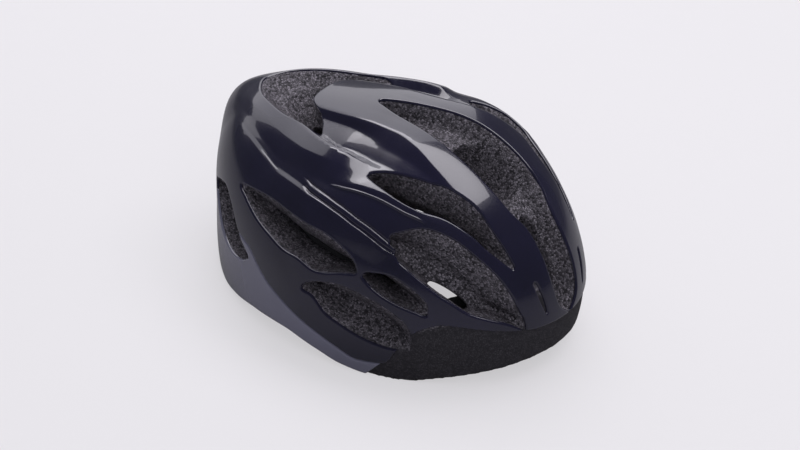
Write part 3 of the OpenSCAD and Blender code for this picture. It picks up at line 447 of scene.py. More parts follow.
# Rows of mesh points beside a rim, a crease and a crest, in mm from it. They keep off every rim: a rim's own
# rows by a share of their distance, the others by ROW_CLEARANCE.
RIM_ROWS, RIM_ROW_SHARE = (0.28, 0.62, 1.1, 1.9), 0.88
CREASE_ROWS = (-1.1, -0.4, 0.4, 1.1)
CREST_ROWS = (-1.8, -1.1, -0.5, 0, 0.5, 1.1, 1.8)
ROW_CLEARANCE, PLAIN_CLEARANCE = 2.3, 2.6


def rows_beside(line, tangent, offsets, rims):
    """Rows of (pitch, side) beside a line on the skin. An offset is (mm off the line, least mm off a rim)."""
    p = skin(line[:, 0], line[:, 1])
    across = np.cross(skin_normal(line[:, 0], line[:, 1]), unit(tangent(p)))
    rows = []
    for away, clearance in offsets:
        q = p + across * away
        near = np.array([rims.find(x)[2] for x in q])
        rows.append(np.stack(angles(q[near > clearance]), axis=1))
    return rows


def fine_rows(loops, rims):
    """The close rows of (pitch, side) beside the rims, the creases and the crests."""
    rows = []
    offsets = [(away * side, away * RIM_ROW_SHARE) for away in RIM_ROWS for side in (-1, 1)]
    for loop in loops:
        rows += rows_beside(loop, lambda p: np.roll(p, -1, axis=0) - np.roll(p, 1, axis=0), offsets, rims)
    lines = [(crease_side(line), CREASE_ROWS) for line in CREASES]
    lines += [(points, CREST_ROWS) for points, _, _ in CRESTS]
    for points, distances in lines:
        pitch = np.linspace(max(points[0][0], 44), min(points[-1][0], 147), 90)
        line = even_steps(np.stack([pitch, along(pitch, points)], axis=1), 1.1, closed=False)
        for side in (-1, 1):
            rows += rows_beside(line * [1, side], lambda p: np.gradient(p, axis=0),
                                [(away, ROW_CLEARANCE) for away in distances], rims)
    return np.vstack(rows)


def plain_points(spacing, rims, fine):
    """Even field of (pitch, side) over the skin, clear of the rims and of the fine rows."""
    step = spacing / 1.95
    grid = []
    for v in np.arange(-88, 88.01, step):
        across = step / max(math.cos(math.radians(v)), 0.04) * 1.1
        count = int(360 / across)
        shift = 0.5 * (int(round(abs(v) / step)) % 2)
        u = -90 + (np.arange(count) + shift) * across
        grid.append(np.stack([u, np.full(count, v)], axis=1))
    grid = np.vstack(grid)
    p = skin(grid[:, 0], grid[:, 1])
    grid, p = grid[p[:, 2] > -2.0], p[p[:, 2] > -2.0]
    clear = [rims.find(x)[2] > PLAIN_CLEARANCE and fine.find(x)[2] > 0.75 * spacing for x in p]
    return grid[np.array(clear)]


def fill_between(loops, inner):
    """Points (pitch and side) and faces of triangles inside the first loop but not inside the others."""
    flat = to_plane(*np.vstack(loops + inner).T)
    faces, start = [], 0
    for loop in loops:
        ring = flat[start:start + len(loop)]
        turn = np.sum(ring[:, 0] * np.roll(ring[:, 1], -1) - ring[:, 1] * np.roll(ring[:, 0], -1))
        faces.append(list(range(start, start + len(loop)))[::1 if turn > 0 else -1])
        start += len(loop)
    found = geometry.delaunay_2d_cdt([Vector(s) for s in flat], [], faces, 0, 1e-7)
    where = np.array([tuple(x) for x in found[0]])
    kept = np.array([f for f, inside in zip(found[2], found[5]) if set(inside) == {0}])
    used = np.unique(kept)
    renumber = np.full(len(where), -1)
    renumber[used] = np.arange(len(used))
    return (*from_plane(where[used]), renumber[kept])


def shell_patch(name, border, holes, material, thickness, spacing, rim):
    """Shell over the skin inside the border and outside the holes, with rounded rims and an inner face."""
    loops = [even_steps(loop, 0.9) for loop in [border] + holes]
    samples = []
    for loop in loops:
        p = skin(loop[:, 0], loop[:, 1])
        q = np.roll(p, -1, axis=0)
        samples += [p, p + (q - p) / 3, p + (q - p) * 2 / 3]
    tree = point_tree(np.vstack(samples))
    fine = fine_rows(loops, tree)
    plain = plain_points(spacing, tree, point_tree(skin(fine[:, 0], fine[:, 1])))
    u, v, tri = fill_between(loops, [fine, plain])
    p = skin(u, v)
    n = skin_normal(u, v)
    near = [tree.find(x) for x in p]
    gap = np.array([x[2] for x in near])
    towards = unit(np.array([tuple(x[0]) for x in near]) - p)

    edges = {}
    for f in tri:
        for a, b in ((f[0], f[1]), (f[1], f[2]), (f[2], f[0])):
            edges[(a, b)] = True
    open_edges = [(a, b) for a, b in edges if (b, a) not in edges]
    count = len(p)
    on_edge = np.zeros(count, bool)
    on_edge[[a for e in open_edges for a in e]] = True
    gap[on_edge] = 0.0
    out_dir = np.zeros((count, 3))
    for a, b in open_edges:
        side = np.cross(p[b] - p[a], n[a])
        out_dir[a] += side
        out_dir[b] += side
    towards[on_edge] = unit(out_dir)[on_edge]
    lean = np.clip((rim - gap) / rim, 0, 1)
    sink = rim - np.sqrt(np.maximum(rim * rim - (lean * rim) ** 2, 0))
    outer = p - n * sink[:, None]
    tilt = np.minimum(lean, 0.985)[:, None]
    turned = n * np.sqrt(1 - tilt ** 2) + towards * tilt
    turned /= np.linalg.norm(turned, axis=1, keepdims=True)
    inner = p - n * np.maximum(thickness, sink + 0.05)[:, None]
    if np.sum(np.cross(p[tri[0][1]] - p[tri[0][0]], p[tri[0][2]] - p[tri[0][0]]) * n[tri[0][0]]) < 0:
        tri = tri[:, ::-1]
        open_edges = [(b, a) for a, b in open_edges]
    walls = []
    for a, b in open_edges:
        walls += [(b, a, a + count), (b, a + count, b + count)]
    faces = np.vstack([tri, tri[:, ::-1] + count, np.array(walls)])
    return add_mesh(name, np.vstack([outer, inner]), faces, material, np.vstack([turned, -n]))


def strip_solid(dense, layers):
    """Closed solid through rungs. Layers, top first: (drop, share off the first edge, off the second)."""
    a, b = dense[:, :2], dense[:, 2:]
    width = b - a
    rings = []
    for drop, near, far in layers:
        rings.append(skin(*(a + width * near).T, drop, False))
    for drop, near, far in layers[::-1]:
        rings.append(skin(*(b - width * far).T, drop, False))
    ring = np.stack(rings, axis=1)
    n, k = ring.shape[:2]
    points = ring.reshape(-1, 3)
    faces = []
    for i in range(n - 1):
        for j in range(k):
            p, q = i * k + j, i * k + (j + 1) % k
            faces += [(p, p + k, q), (q, p + k, q + k)]
    faces.append(tuple(range(k)))
    faces.append(tuple(reversed(range((n - 1) * k, n * k))))
    return points, faces


def grid_solid(name, points, faces):
    """Plain closed mesh for cutting, its faces turned outward."""
    mesh = bpy.data.meshes.new(name)
    mesh.from_pydata((np.asarray(points) * MM).tolist(), [], faces)
    bm = bmesh.new()
    bm.from_mesh(mesh)
    bmesh.ops.remove_doubles(bm, verts=bm.verts, dist=1e-7)
    bmesh.ops.triangulate(bm, faces=bm.faces)
    bmesh.ops.recalc_face_normals(bm, faces=bm.faces)
    bm.to_mesh(mesh)
    bm.free()
    cutter = bpy.data.objects.new(name, mesh)
    bpy.context.scene.collection.objects.link(cutter)
    return cutter


def star_mesh(drop, step=2.0):
    """Closed mesh of the skin sunk by drop."""
    us = np.arange(-90, 270, step)
    vs = np.arange(-90 + step, 90, step)
    uu, vv = np.meshgrid(us, vs)
    points = skin(uu.ravel(), vv.ravel(), drop, False)
    poles = CENTRE + np.array([[-(HALF_W - drop), 0, 0], [HALF_W - drop, 0, 0]])
    n, m = len(us), len(vs)
    faces = []
    for j in range(m - 1):
        for i in range(n):
            a, b = j * n + i, j * n + (i + 1) % n
            faces.append((a, b, b + n, a + n))
    faces += [(n * m, (i + 1) % n, i) for i in range(n)]
    top = (m - 1) * n
    faces += [(n * m + 1, top + i, top + (i + 1) % n) for i in range(n)]
    return np.vstack([points, poles]), faces


def prism(outline_yz, half_x):
    """Closed block: an outline in y and z (from the head centre, over the table), drawn out along x."""
    n = len(outline_yz)
    points = [(x, y + CENTRE_Y, z) for x in (-half_x, half_x) for y, z in outline_yz]
    faces = [tuple(range(n)), tuple(reversed(range(n, 2 * n)))]
    faces += [(i, (i + 1) % n, n + (i + 1) % n, n + i) for i in range(n)]
    return points, faces


def tube(rings):
    """Closed tube through rings of points."""
    k = len(rings[0])
    points = [p for ring in rings for p in ring]
    faces = [tuple(range(k)), tuple(reversed(range((len(rings) - 1) * k, len(rings) * k)))]
    for i in range(len(rings) - 1):
        for j in range(k):
            a, b = i * k + j, i * k + (j + 1) % k
            faces.append((a, a + k, b + k, b))
    return points, faces


def bake(piece):
    """Keeps what a piece's modifiers make as its plain mesh."""
    graph = bpy.context.evaluated_depsgraph_get()
    result = bpy.data.meshes.new_from_object(piece.evaluated_get(graph))
    piece.modifiers.clear()
    old, piece.data = piece.data, result
    bpy.data.meshes.remove(old)


def discard(piece):
    mesh = piece.data
    bpy.data.objects.remove(piece)
    bpy.data.meshes.remove(mesh)


def cut(piece, cutters):
    """Takes each cutter out of the piece, then removes the cutters."""
    for cutter in cutters:
        step = piece.modifiers.new("cut", "BOOLEAN")
        step.operation, step.solver, step.object = "DIFFERENCE", "MANIFOLD", cutter
    bake(piece)
    for cutter in cutters:
        discard(cutter)


def settle(piece, modifiers):
    """Runs modifiers given as (type, settings) and keeps their result as a plain mesh."""
    for kind, settings in modifiers:
        step = piece.modifiers.new(kind.lower(), kind)
        for key, value in settings.items():
            setattr(step, key, value)
    bake(piece)
    piece.data.polygons.foreach_set("use_smooth", [True] * len(piece.data.polygons))
    piece.data.update()


# Head cavity and what is let into it
HEAD_HALF_W, HEAD_HALF_L, HEAD_TOP, HEAD_MID = 80.0, 104.0, 116.0, 34.0
HEAD_RISE = HEAD_TOP - HEAD_MID
GROOVE_R, GROOVE_SIDE = 7, 34
DIAL_Z = 28.0
# The band runs inside the cavity's wall, from the temple back to the dial
BAND_INSET, TEMPLE_TURN = 9, 62
BAND_HALF_W, BAND_HALF_L = HEAD_HALF_W - BAND_INSET, HEAD_HALF_L - BAND_INSET
BELT_Y = CENTRE_Y + BAND_HALF_L * math.cos(math.radians(30))
# Strap anchors: turn round the head from the brow, and height over the table
FRONT_TURN, FRONT_Z, REAR_TURN, REAR_Z = 54.0, 24.0, 130.0, 20.0


def wall_point(turn, rise, inset=0.0):
    """Point of the cavity's wall at a turn from the brow. Above 0, rise is an angle up the roof. Below 0 it
    leads down the upright part, by HEAD_RISE times the angle in radians."""
    turn, rise = np.radians(np.asarray(turn, float)), np.asarray(rise, float)
    flat = np.where(rise > 0, np.cos(np.radians(rise)), 1.0)
    z = np.where(rise > 0, HEAD_MID + (HEAD_RISE - inset) * np.sin(np.radians(rise)),
                 HEAD_MID + HEAD_RISE * np.radians(rise))
    return np.stack([(HEAD_HALF_W - inset) * np.sin(turn) * flat,
                     CENTRE_Y - (HEAD_HALF_L - inset) * np.cos(turn) * flat, z], axis=-1)


def vault_point(pitch, side, inset=0.0):
    """Point of the cavity's roof at a pitch and a side angle."""
    pitch, side = np.radians(np.asarray(pitch, float)), np.radians(np.asarray(side, float))
    return np.stack([(HEAD_HALF_W - inset) * np.sin(side),
                     CENTRE_Y - (HEAD_HALF_L - inset) * np.cos(side) * np.cos(pitch),
                     HEAD_MID + (HEAD_RISE - inset) * np.cos(side) * np.sin(pitch)], axis=-1)


def wall_angle(turn):
    """Direction in the table's plane that points out of the cavity's wall."""
    t = math.radians(turn)
    return math.atan2(-math.cos(t) / HEAD_HALF_L, math.sin(t) / HEAD_HALF_W)


def cavity_mesh(sides=96, levels=24):
    turns = np.arange(sides) * 360 / sides
    rings = [[(x, y, -2.0) for x, y, _ in wall_point(turns, np.zeros(sides))]]
    for k in range(levels):
        rings.append([tuple(p) for p in wall_point(turns, np.full(sides, 90.0 * k / levels))])
    points, faces = tube(rings)
    top = len(points)
    points.append((0, CENTRE_Y, HEAD_TOP))
    last = (len(rings) - 1) * sides
    faces = [f for f in faces if f != tuple(reversed(range(last, last + sides)))]
    faces += [(last + i, last + (i + 1) % sides, top) for i in range(sides)]
    return points, faces


def groove_mesh(side):
    share = 1.0 if side == 0 else 0.9
    rings = []
    for pitch in np.linspace(-8, 188, 50):
        c, s = math.cos(math.radians(pitch)), math.sin(math.radians(pitch))
        ring = []
        for k in range(12):
            a = math.radians(30 * k)
            r = share + GROOVE_R * math.cos(a) / HEAD_RISE
            ring.append((side * GROOVE_SIDE + GROOVE_R * math.sin(a), CENTRE_Y - HEAD_HALF_L * r * c,
                         HEAD_MID + HEAD_RISE * r * s))
        rings.append(ring)
    return tube(rings)


def box_mesh(low, high):
    x0, y0, z0 = low
    x1, y1, z1 = high
    return tube([[(x0, y0, z), (x1, y0, z), (x1, y1, z), (x0, y1, z)] for z in (z0, z1)])


def wall_box(turn, low, high, inset=0.0):
    """Block in the frame of the cavity's wall: outward, along the wall, up."""
    base = wall_point(turn, 0.0, inset)
    a = wall_angle(turn)
    points, faces = box_mesh(low, high)
    out = []
    for x, y, z in points:
        out.append((base[0] + x * math.cos(a) - y * math.sin(a),
                    base[1] + x * math.sin(a) + y * math.cos(a), z))
    return out, faces


def slit_tube(side, start=9.0, length=60.0, around=36):
    """Oval tube through the foam below a brow vent, along the photographed line of sight."""
    (u, v), axis, long, short, (a, b) = BROW_SLIT
    axis, long, short = (np.array(d) * (side, 1, 1) for d in (axis, long, short))
    middle = skin(np.array([float(u)]), np.array([float(v) * side]))[0]
    angle = np.linspace(0, 2 * math.pi, around, endpoint=False)[:, None]
    ring = long * a * np.cos(angle) + short * b * np.sin(angle)
    return tube([middle + axis * far + ring for far in (start, start + length)])


def disc_tube(centre, direction, length, radius, sides=40):
    """Round bar from a centre point along a direction."""
    d = Vector(direction).normalized()
    side = d.orthogonal().normalized()
    up = d.cross(side)
    rings = []
    for t in (0.0, length):
        c = Vector(centre) + d * t
        rings.append([tuple(c + side * radius * math.cos(2 * math.pi * k / sides)
                            + up * radius * math.sin(2 * math.pi * k / sides)) for k in range(sides)])
    return tube(rings)


def mirrored(solid):
    points, faces = solid
    return [(-x, y, z) for x, y, z in points], [tuple(reversed(f)) for f in faces]


def vent_cutters(name, dense):
    """Cutters of one vent: its sloped channel, and the hole through the foam below it."""
    if name.startswith("rib"):
        return []
    if name in ("slot", "tail"):
        made = [grid_solid(name, *strip_solid(dense, CENTRE_CHANNEL))]
        for low, high, top, foot in SLOT_HOLES if name == "slot" else TAIL_HOLES:
            inside = dense[10:-10]
            if high:
                inside = dense[(dense[:, 0] > low) & (dense[:, 0] < high)]
            layers = ((6, top, top), (66, foot, foot))
            made.append(grid_solid("through", *strip_solid(dense_rungs(inside[::4], 4), layers)))
        return made
    made = [grid_solid(name, *strip_solid(dense, SIDE_CHANNEL))]
    if name.startswith("brow"):
        return made + [grid_solid("slit", *slit_tube(1 if name.endswith("left") else -1))]
    layers = EAR_HOLE if name.startswith("ear") else SIDE_HOLE
    return made + [grid_solid("through", *strip_solid(dense_rungs(dense[6:-6:6], 5), layers))]


def recess_cutters():
    """Cutters of the recesses for the dial, its bracket, the strap plates, the bands and the temple plugs."""
    front = CENTRE_Y + 60
    made = [grid_solid("recess", *disc_tube((0, front, DIAL_Z + 8), (0, 1, 0), 52, 20)),
            grid_solid("recess", *box_mesh((-20, front, -20), (20, CENTRE_Y + 112, DIAL_Z + 8))),
            grid_solid("bracket", *box_mesh((-11.2, front, 57.8), (11.2, CENTRE_Y + 101.2, 68.2)))]
    blocks = [("plate", wall_box(turn, (-3, -10.2, z - 6.2), (3.2, 10.2, z + 6.2)))
              for turn, z in ((FRONT_TURN, FRONT_Z), (REAR_TURN, REAR_Z))]
    blocks += [("clearance", wall_box(turn, (-3, -7, DIAL_Z - 14), (4.2, 7, DIAL_Z + 14)))
               for turn in range(121, 158, 6)]
    out, turn = wall_angle(TEMPLE_TURN), math.radians(TEMPLE_TURN + 1)
    spot = (BAND_HALF_W * math.sin(turn), CENTRE_Y - BAND_HALF_L * math.cos(turn), DIAL_Z)
    blocks.append(("plug", disc_tube(spot, (math.cos(out), math.sin(out), 0), 16.2, 5.2)))
    for name, block in blocks:
        made += [grid_solid(name, *block), grid_solid(name, *mirrored(block))]
    return made


# Finishes
def node(tree, kind, inputs=None, **settings):
    """Adds a node, sets its properties, and fills its inputs with values or with other nodes' outputs."""
    made = tree.nodes.new(kind)
    for key, value in settings.items():
        setattr(made, key, value)
    for key, value in (inputs or {}).items():
        if isinstance(value, bpy.types.NodeSocket):
            tree.links.new(value, made.inputs[key])
        else:
            made.inputs[key].default_value = value
    return made


def new_group(name, inputs, outputs, kind="ShaderNodeTree"):
    """An empty node group with named sockets, its input node and its output node."""
    tree = bpy.data.node_groups.new(name, kind)
    for label, socket, default in inputs:
        made = tree.interface.new_socket(name=label, in_out="INPUT", socket_type=socket)
        if default is not None:
            made.default_value = default
    for label, socket in outputs:
        tree.interface.new_socket(name=label, in_out="OUTPUT", socket_type=socket)
    return tree, tree.nodes.new("NodeGroupInput"), tree.nodes.new("NodeGroupOutput")


def noise(tree, vector, scale, detail, roughness=0.5):
    return node(tree, "ShaderNodeTexNoise",
                {"Vector": vector, "Scale": scale, "Detail": detail, "Roughness": roughness})


def map_range(tree, value, low, high, to_low=0.0, to_high=1.0):
    return node(tree, "ShaderNodeMapRange", {"Value": value, "From Min": low, "From Max": high,
                                             "To Min": to_low, "To Max": to_high}).outputs[0]


def math_node(tree, operation, a, b=None, c=None):
    inputs = {0: a}
    if b is not None:
        inputs[1] = b
    if c is not None:
        inputs[2] = c
    return node(tree, "ShaderNodeMath", inputs, operation=operation).outputs[0]


def grain_group():
    """Fine moulded grain: a height, and a soft mask of larger patches."""
    if "Moulded grain" in bpy.data.node_groups:
        return bpy.data.node_groups["Moulded grain"]
    tree, source, sink = new_group(
        "Moulded grain",
        [("Vector", "NodeSocketVector", None), ("Grain Scale", "NodeSocketFloat", 2500.0),
         ("Patch Scale", "NodeSocketFloat", 60.0)],
        [("Height", "NodeSocketFloat"), ("Patches", "NodeSocketFloat")])
    fine = noise(tree, source.outputs[0], source.outputs[1], 3.0, 0.6)
    wide = noise(tree, source.outputs[0], source.outputs[2], 4.0, 0.55)
    tree.links.new(fine.outputs[0], sink.inputs[0])
    tree.links.new(wide.outputs[0], sink.inputs[1])
    return tree


def bead_group():
    """Fused foam beads: domes with dark gaps between them, and a shade for each bead."""
    if "Foam beads" in bpy.data.node_groups:
        return bpy.data.node_groups["Foam beads"]
    tree, source, sink = new_group(
        "Foam beads",
        [("Vector", "NodeSocketVector", None), ("Bead Scale", "NodeSocketFloat", 720.0)],
        [("Height", "NodeSocketFloat"), ("Shade", "NodeSocketFloat"), ("Gap", "NodeSocketFloat")])
    warp = noise(tree, source.outputs[0], 300.0, 2.0)
    shift = node(tree, "ShaderNodeVectorMath", {0: warp.outputs["Color"], 1: (0.0006, 0.0006, 0.0006)},
                 operation="MULTIPLY")
    moved = node(tree, "ShaderNodeVectorMath", {0: source.outputs[0], 1: shift.outputs[0]}, operation="ADD")
    where = {"Vector": moved.outputs[0], "Scale": source.outputs[1]}
    cells, walls = (node(tree, "ShaderNodeTexVoronoi", where, feature=kind)
                    for kind in ("F1", "DISTANCE_TO_EDGE"))
    dust = noise(tree, source.outputs[0], 2600.0, 2.0)
    gap = map_range(tree, walls.outputs["Distance"], 0.0, 0.16, 1.0, 0.0)
    dome = math_node(tree, "SUBTRACT", 1.0, cells.outputs["Distance"])
    height = math_node(tree, "MULTIPLY_ADD", dust.outputs[0], 0.25, dome)
    height = math_node(tree, "SUBTRACT", height, math_node(tree, "MULTIPLY", gap, 0.5))
    shade = node(tree, "ShaderNodeSeparateColor", {0: cells.outputs["Color"]})
    tree.links.new(height, sink.inputs[0])
    tree.links.new(shade.outputs[0], sink.inputs[1])
    tree.links.new(gap, sink.inputs[2])
    return tree


def weave_group():
    """Woven pattern on a map in metres: threads across and along, with a shade for each crossing."""
    if "Woven threads" in bpy.data.node_groups:
        return bpy.data.node_groups["Woven threads"]
    tree, source, sink = new_group(
        "Woven threads",
        [("Vector", "NodeSocketVector", None), ("Threads Along", "NodeSocketFloat", 900.0),
         ("Threads Across", "NodeSocketFloat", 1400.0)],
        [("Height", "NodeSocketFloat"), ("Shade", "NodeSocketFloat")])
    parts = node(tree, "ShaderNodeSeparateXYZ", {0: source.outputs[0]})
    wave_x, wave_y = (
        math_node(tree, "SINE", math_node(tree, "MULTIPLY", math_node(
            tree, "MULTIPLY", parts.outputs[k], source.outputs[k + 1]), math.pi)) for k in (0, 1))
    over = math_node(tree, "MULTIPLY", wave_x, wave_y)
    ribs = math_node(tree, "ABSOLUTE", wave_x)
    fuzz = noise(tree, source.outputs[0], 3000.0, 2.0)
    fuzzy = math_node(tree, "MULTIPLY_ADD", fuzz.outputs[0], 0.25, ribs)
    height = math_node(tree, "MULTIPLY_ADD", over, 0.3, fuzzy)
    tree.links.new(height, sink.inputs[0])
    tree.links.new(math_node(tree, "MULTIPLY_ADD", over, 0.5, 0.5), sink.inputs[1])
    return tree


def scuff_group():
    """Faint handling marks: 0 where the surface is clean, up to 1 in the marks."""
    if "Handling marks" in bpy.data.node_groups:
        return bpy.data.node_groups["Handling marks"]
    tree, source, sink = new_group(
        "Handling marks", [("Vector", "NodeSocketVector", None), ("Mark Scale", "NodeSocketFloat", 25.0),
                           ("Amount", "NodeSocketFloat", 0.5)],
        [("Marks", "NodeSocketFloat")])
    long = node(tree, "ShaderNodeMapping", {"Vector": source.outputs[0], "Rotation": (0.6, 0.3, 0.9),
                                            "Scale": (1.0, 9.0, 9.0)})
    sharp = map_range(tree, noise(tree, long.outputs[0], source.outputs[1], 6.0, 0.7).outputs[0], 0.55, 0.8)
    soft = map_range(tree, noise(tree, source.outputs[0], 30.0, 3.0).outputs[0], 0.4, 0.75)
    both = math_node(tree, "MULTIPLY", math_node(tree, "MAXIMUM", sharp, soft), source.outputs[2])
    tree.links.new(both, sink.inputs[0])
    return tree


def start_material(name, coordinates="Object", **shader):
    """A new material with its shader, its Principled node and its coordinates."""
    material = bpy.data.materials.new(name)
    material.use_nodes = True
    tree = material.node_tree
    tree.nodes.clear()
    bsdf = node(tree, "ShaderNodeBsdfPrincipled", shader)
    out = node(tree, "ShaderNodeOutputMaterial")
    tree.links.new(bsdf.outputs[0], out.inputs[0])
    place = node(tree, "ShaderNodeTexCoord")
    return material, tree, bsdf, place.outputs[coordinates]


def colour_mix(tree, factor, a, b):
    return node(tree, "ShaderNodeMix", {0: factor, 6: (*a, 1), 7: (*b, 1)}, data_type="RGBA").outputs[2]


def group_node(tree, group, vector, *values):
    """Adds a node group with its first input linked and its next inputs set."""
    made = node(tree, "ShaderNodeGroup", node_tree=group)
    tree.links.new(vector, made.inputs[0])
    for k, value in enumerate(values, 1):
        made.inputs[k].default_value = value
    return made


def dress(tree, bsdf, colour, roughness, height, strength, distance):
    """Links a shader's colour and roughness, and a bump from a height."""
    tree.links.new(colour, bsdf.inputs["Base Color"])
    tree.links.new(roughness, bsdf.inputs["Roughness"])
    bump = node(tree, "ShaderNodeBump", {"Strength": strength, "Distance": distance, "Height": height})
    tree.links.new(bump.outputs[0], bsdf.inputs["Normal"])


def gloss_paint(name, deep, lit):
    """Polycarbonate skin, back-printed: a deep colour under a clear gloss."""
    material, tree, bsdf, place = start_material(
        name, **{"Coat Weight": 1.0, "Coat Roughness": 0.04, "IOR": 1.5, "Specular IOR Level": 0.5})
    marks = group_node(tree, scuff_group(), place, 25.0, 0.5)
    grain = group_node(tree, grain_group(), place, 420.0, 14.0)
    dress(tree, bsdf, colour_mix(tree, grain.outputs[1], deep, lit),
          math_node(tree, "MULTIPLY_ADD", marks.outputs[0], 0.16, 0.2), grain.outputs[0], 0.05, 0.0002)
    return material


def foam_finish(name, dark, pale):
    """Black expanded foam with its beads showing; where the mesh's mask says so, a smoother closed skin with
    flatter beads, darkened by painted shade.
    """
    material, tree, bsdf, place = start_material(name, **{"IOR": 1.4, "Specular IOR Level": 0.35})
    beads = group_node(tree, bead_group(), place)
    filled = math_node(tree, "SUBTRACT", 1.0, math_node(tree, "MULTIPLY", beads.outputs[2], 0.85))
    shade = math_node(tree, "MULTIPLY", beads.outputs[1], filled)
    # Painted shade and a smoother skin: the mask darkens the beads' colour along the brow's lower edge and
    # flattens their bump.
    skin_and_shade = node(tree, "ShaderNodeAttribute", attribute_name="skin_and_shade").outputs["Fac"]
    bare_and_unshaded = math_node(tree, "SUBTRACT", 1.0, math_node(tree, "MULTIPLY", skin_and_shade, 0.9))
    dress(tree, bsdf, colour_mix(tree, math_node(tree, "MULTIPLY", shade, bare_and_unshaded), dark, pale),
          math_node(tree, "MULTIPLY_ADD", beads.outputs[2], 0.3, 0.5), beads.outputs[0],
          math_node(tree, "MULTIPLY", bare_and_unshaded, 0.8), 0.00045)
    return material


def moulding_finish(name, dark, pale, roughness, grain_scale=2600.0, depth=0.00008, metallic=0.0):
    """Moulded plastic or metal with fine grain and faint handling marks."""
    material, tree, bsdf, place = start_material(name, **{"Metallic": metallic})
    grain = group_node(tree, grain_group(), place, grain_scale)
    marks = group_node(tree, scuff_group(), place)
    dress(tree, bsdf, colour_mix(tree, grain.outputs[1], dark, pale),
          math_node(tree, "MULTIPLY_ADD", marks.outputs[0], 0.2, roughness), grain.outputs[0], 0.6, depth)
    return material


def cloth_finish(name, dark, pale, along_scale, across_scale, depth, sheen):
    """Woven or knitted cloth on the piece's own map in metres."""
    material, tree, bsdf, place = start_material(
        name, "UV", **{"Sheen Weight": sheen, "Sheen Roughness": 0.4})
    weave = group_node(tree, weave_group(), place, along_scale, across_scale)
    wear = group_node(tree, grain_group(), place)
    shade = math_node(tree, "MULTIPLY", weave.outputs[1], wear.outputs[1])
    dress(tree, bsdf, colour_mix(tree, shade, dark, pale),
          math_node(tree, "MULTIPLY_ADD", weave.outputs[1], 0.15, 0.72), weave.outputs[0], 0.7, depth)
    return material


# Material name, darker and paler colour, then the other values of cloth_finish or of moulding_finish, by slot
CLOTHS = {
    "pad_cloth": ("pad_knit", (0.012, 0.012, 0.014), (0.05, 0.05, 0.055), 900, 900, 0.0002, 0.5),
    "webbing": ("strap_webbing", (0.008, 0.008, 0.009), (0.035, 0.035, 0.04), 1500, 650, 0.00025, 0.25),
}
MOULDINGS = {
    "nylon": ("satin_nylon", (0.012, 0.012, 0.014), (0.022, 0.022, 0.025), 0.42),
    "grip": ("soft_grip", (0.014, 0.014, 0.015), (0.024, 0.024, 0.026), 0.62, 1800.0, 0.0001),
    "acetal": ("natural_acetal", (0.52, 0.52, 0.48), (0.62, 0.61, 0.57), 0.32),
    "acetal_black": ("black_acetal", (0.008, 0.008, 0.009), (0.016, 0.016, 0.018), 0.3),
    "grey_nylon": ("grey_nylon", (0.05, 0.05, 0.055), (0.075, 0.075, 0.08), 0.4),
    "steel": ("plated_steel", (0.5, 0.5, 0.51), (0.62, 0.62, 0.63), 0.28, 3000.0, 0.00003, 1.0),
    "thread": ("bonded_thread", (0.03, 0.03, 0.033), (0.07, 0.07, 0.075), 0.6, 4000.0),
}
FINISH = {}


def finish(slot):
    """The material of a slot of the record, made once."""
    if slot in FINISH:
        return FINISH[slot]
    look = bpy.context.scene.helmet_look
    if slot == "gloss_black":
        made = gloss_paint("shell_gloss", tuple(look.shell_deep), tuple(look.shell_lit))
    elif slot == "gloss_slate":
        made = gloss_paint("shell_slate", tuple(look.slate_deep), tuple(look.slate_lit))
    elif slot == "foam":
        made = foam_finish("bead_foam", tuple(look.foam_dark), tuple(look.foam_pale))
    elif slot in CLOTHS:
        made = cloth_finish(*CLOTHS[slot])
    else:
        made = moulding_finish(*MOULDINGS[slot])
    FINISH[slot] = made
    return made


BODY_OF = {n: b for b, nodes in frame["record"]["behaviour"]["bodies"].items() for n in nodes}
SLOT_OF = {s["node"]: s["material_slot"] for s in frame["record"]["subparts"]}


def place(piece, nodes):
    """Lets a finished piece stand for CAD nodes and ride on their body."""
    nodes = [nodes] if isinstance(nodes, str) else list(nodes)
    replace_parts(piece, *nodes)
    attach(piece, BODY_OF[nodes[0]])
    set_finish(piece, SLOT_OF[nodes[0]])
    return piece


# Settings
class HelmetShape(bpy.types.PropertyGroup):
    shell_thickness: FloatProperty(name="Shell thickness", description="Thickness of the shell's skin",
                                   default=1.2 * MM, min=0.0008, max=0.002, subtype="DISTANCE", unit="LENGTH")
    rim_radius: FloatProperty(name="Rim radius", description="Rounding of the shell at vents and edges",
                              default=1.5 * MM, min=0.0005, max=0.002, subtype="DISTANCE", unit="LENGTH")
    skin_step: FloatProperty(name="Skin step", description="Distance between the points of the shell's mesh",
                             default=1.75 * MM, min=0.001, max=0.004, subtype="DISTANCE", unit="LENGTH")
    foam_gap: FloatProperty(name="Foam gap", description="Gap between the shell and the foam",
                            default=0.2 * MM, min=0.0001, max=0.0005, subtype="DISTANCE", unit="LENGTH")
    foam_step: FloatProperty(name="Foam step",
                             description="Size of the cells that the foam's mesh is made of",
                             default=1.6 * MM, min=0.001, max=0.004, subtype="DISTANCE", unit="LENGTH")


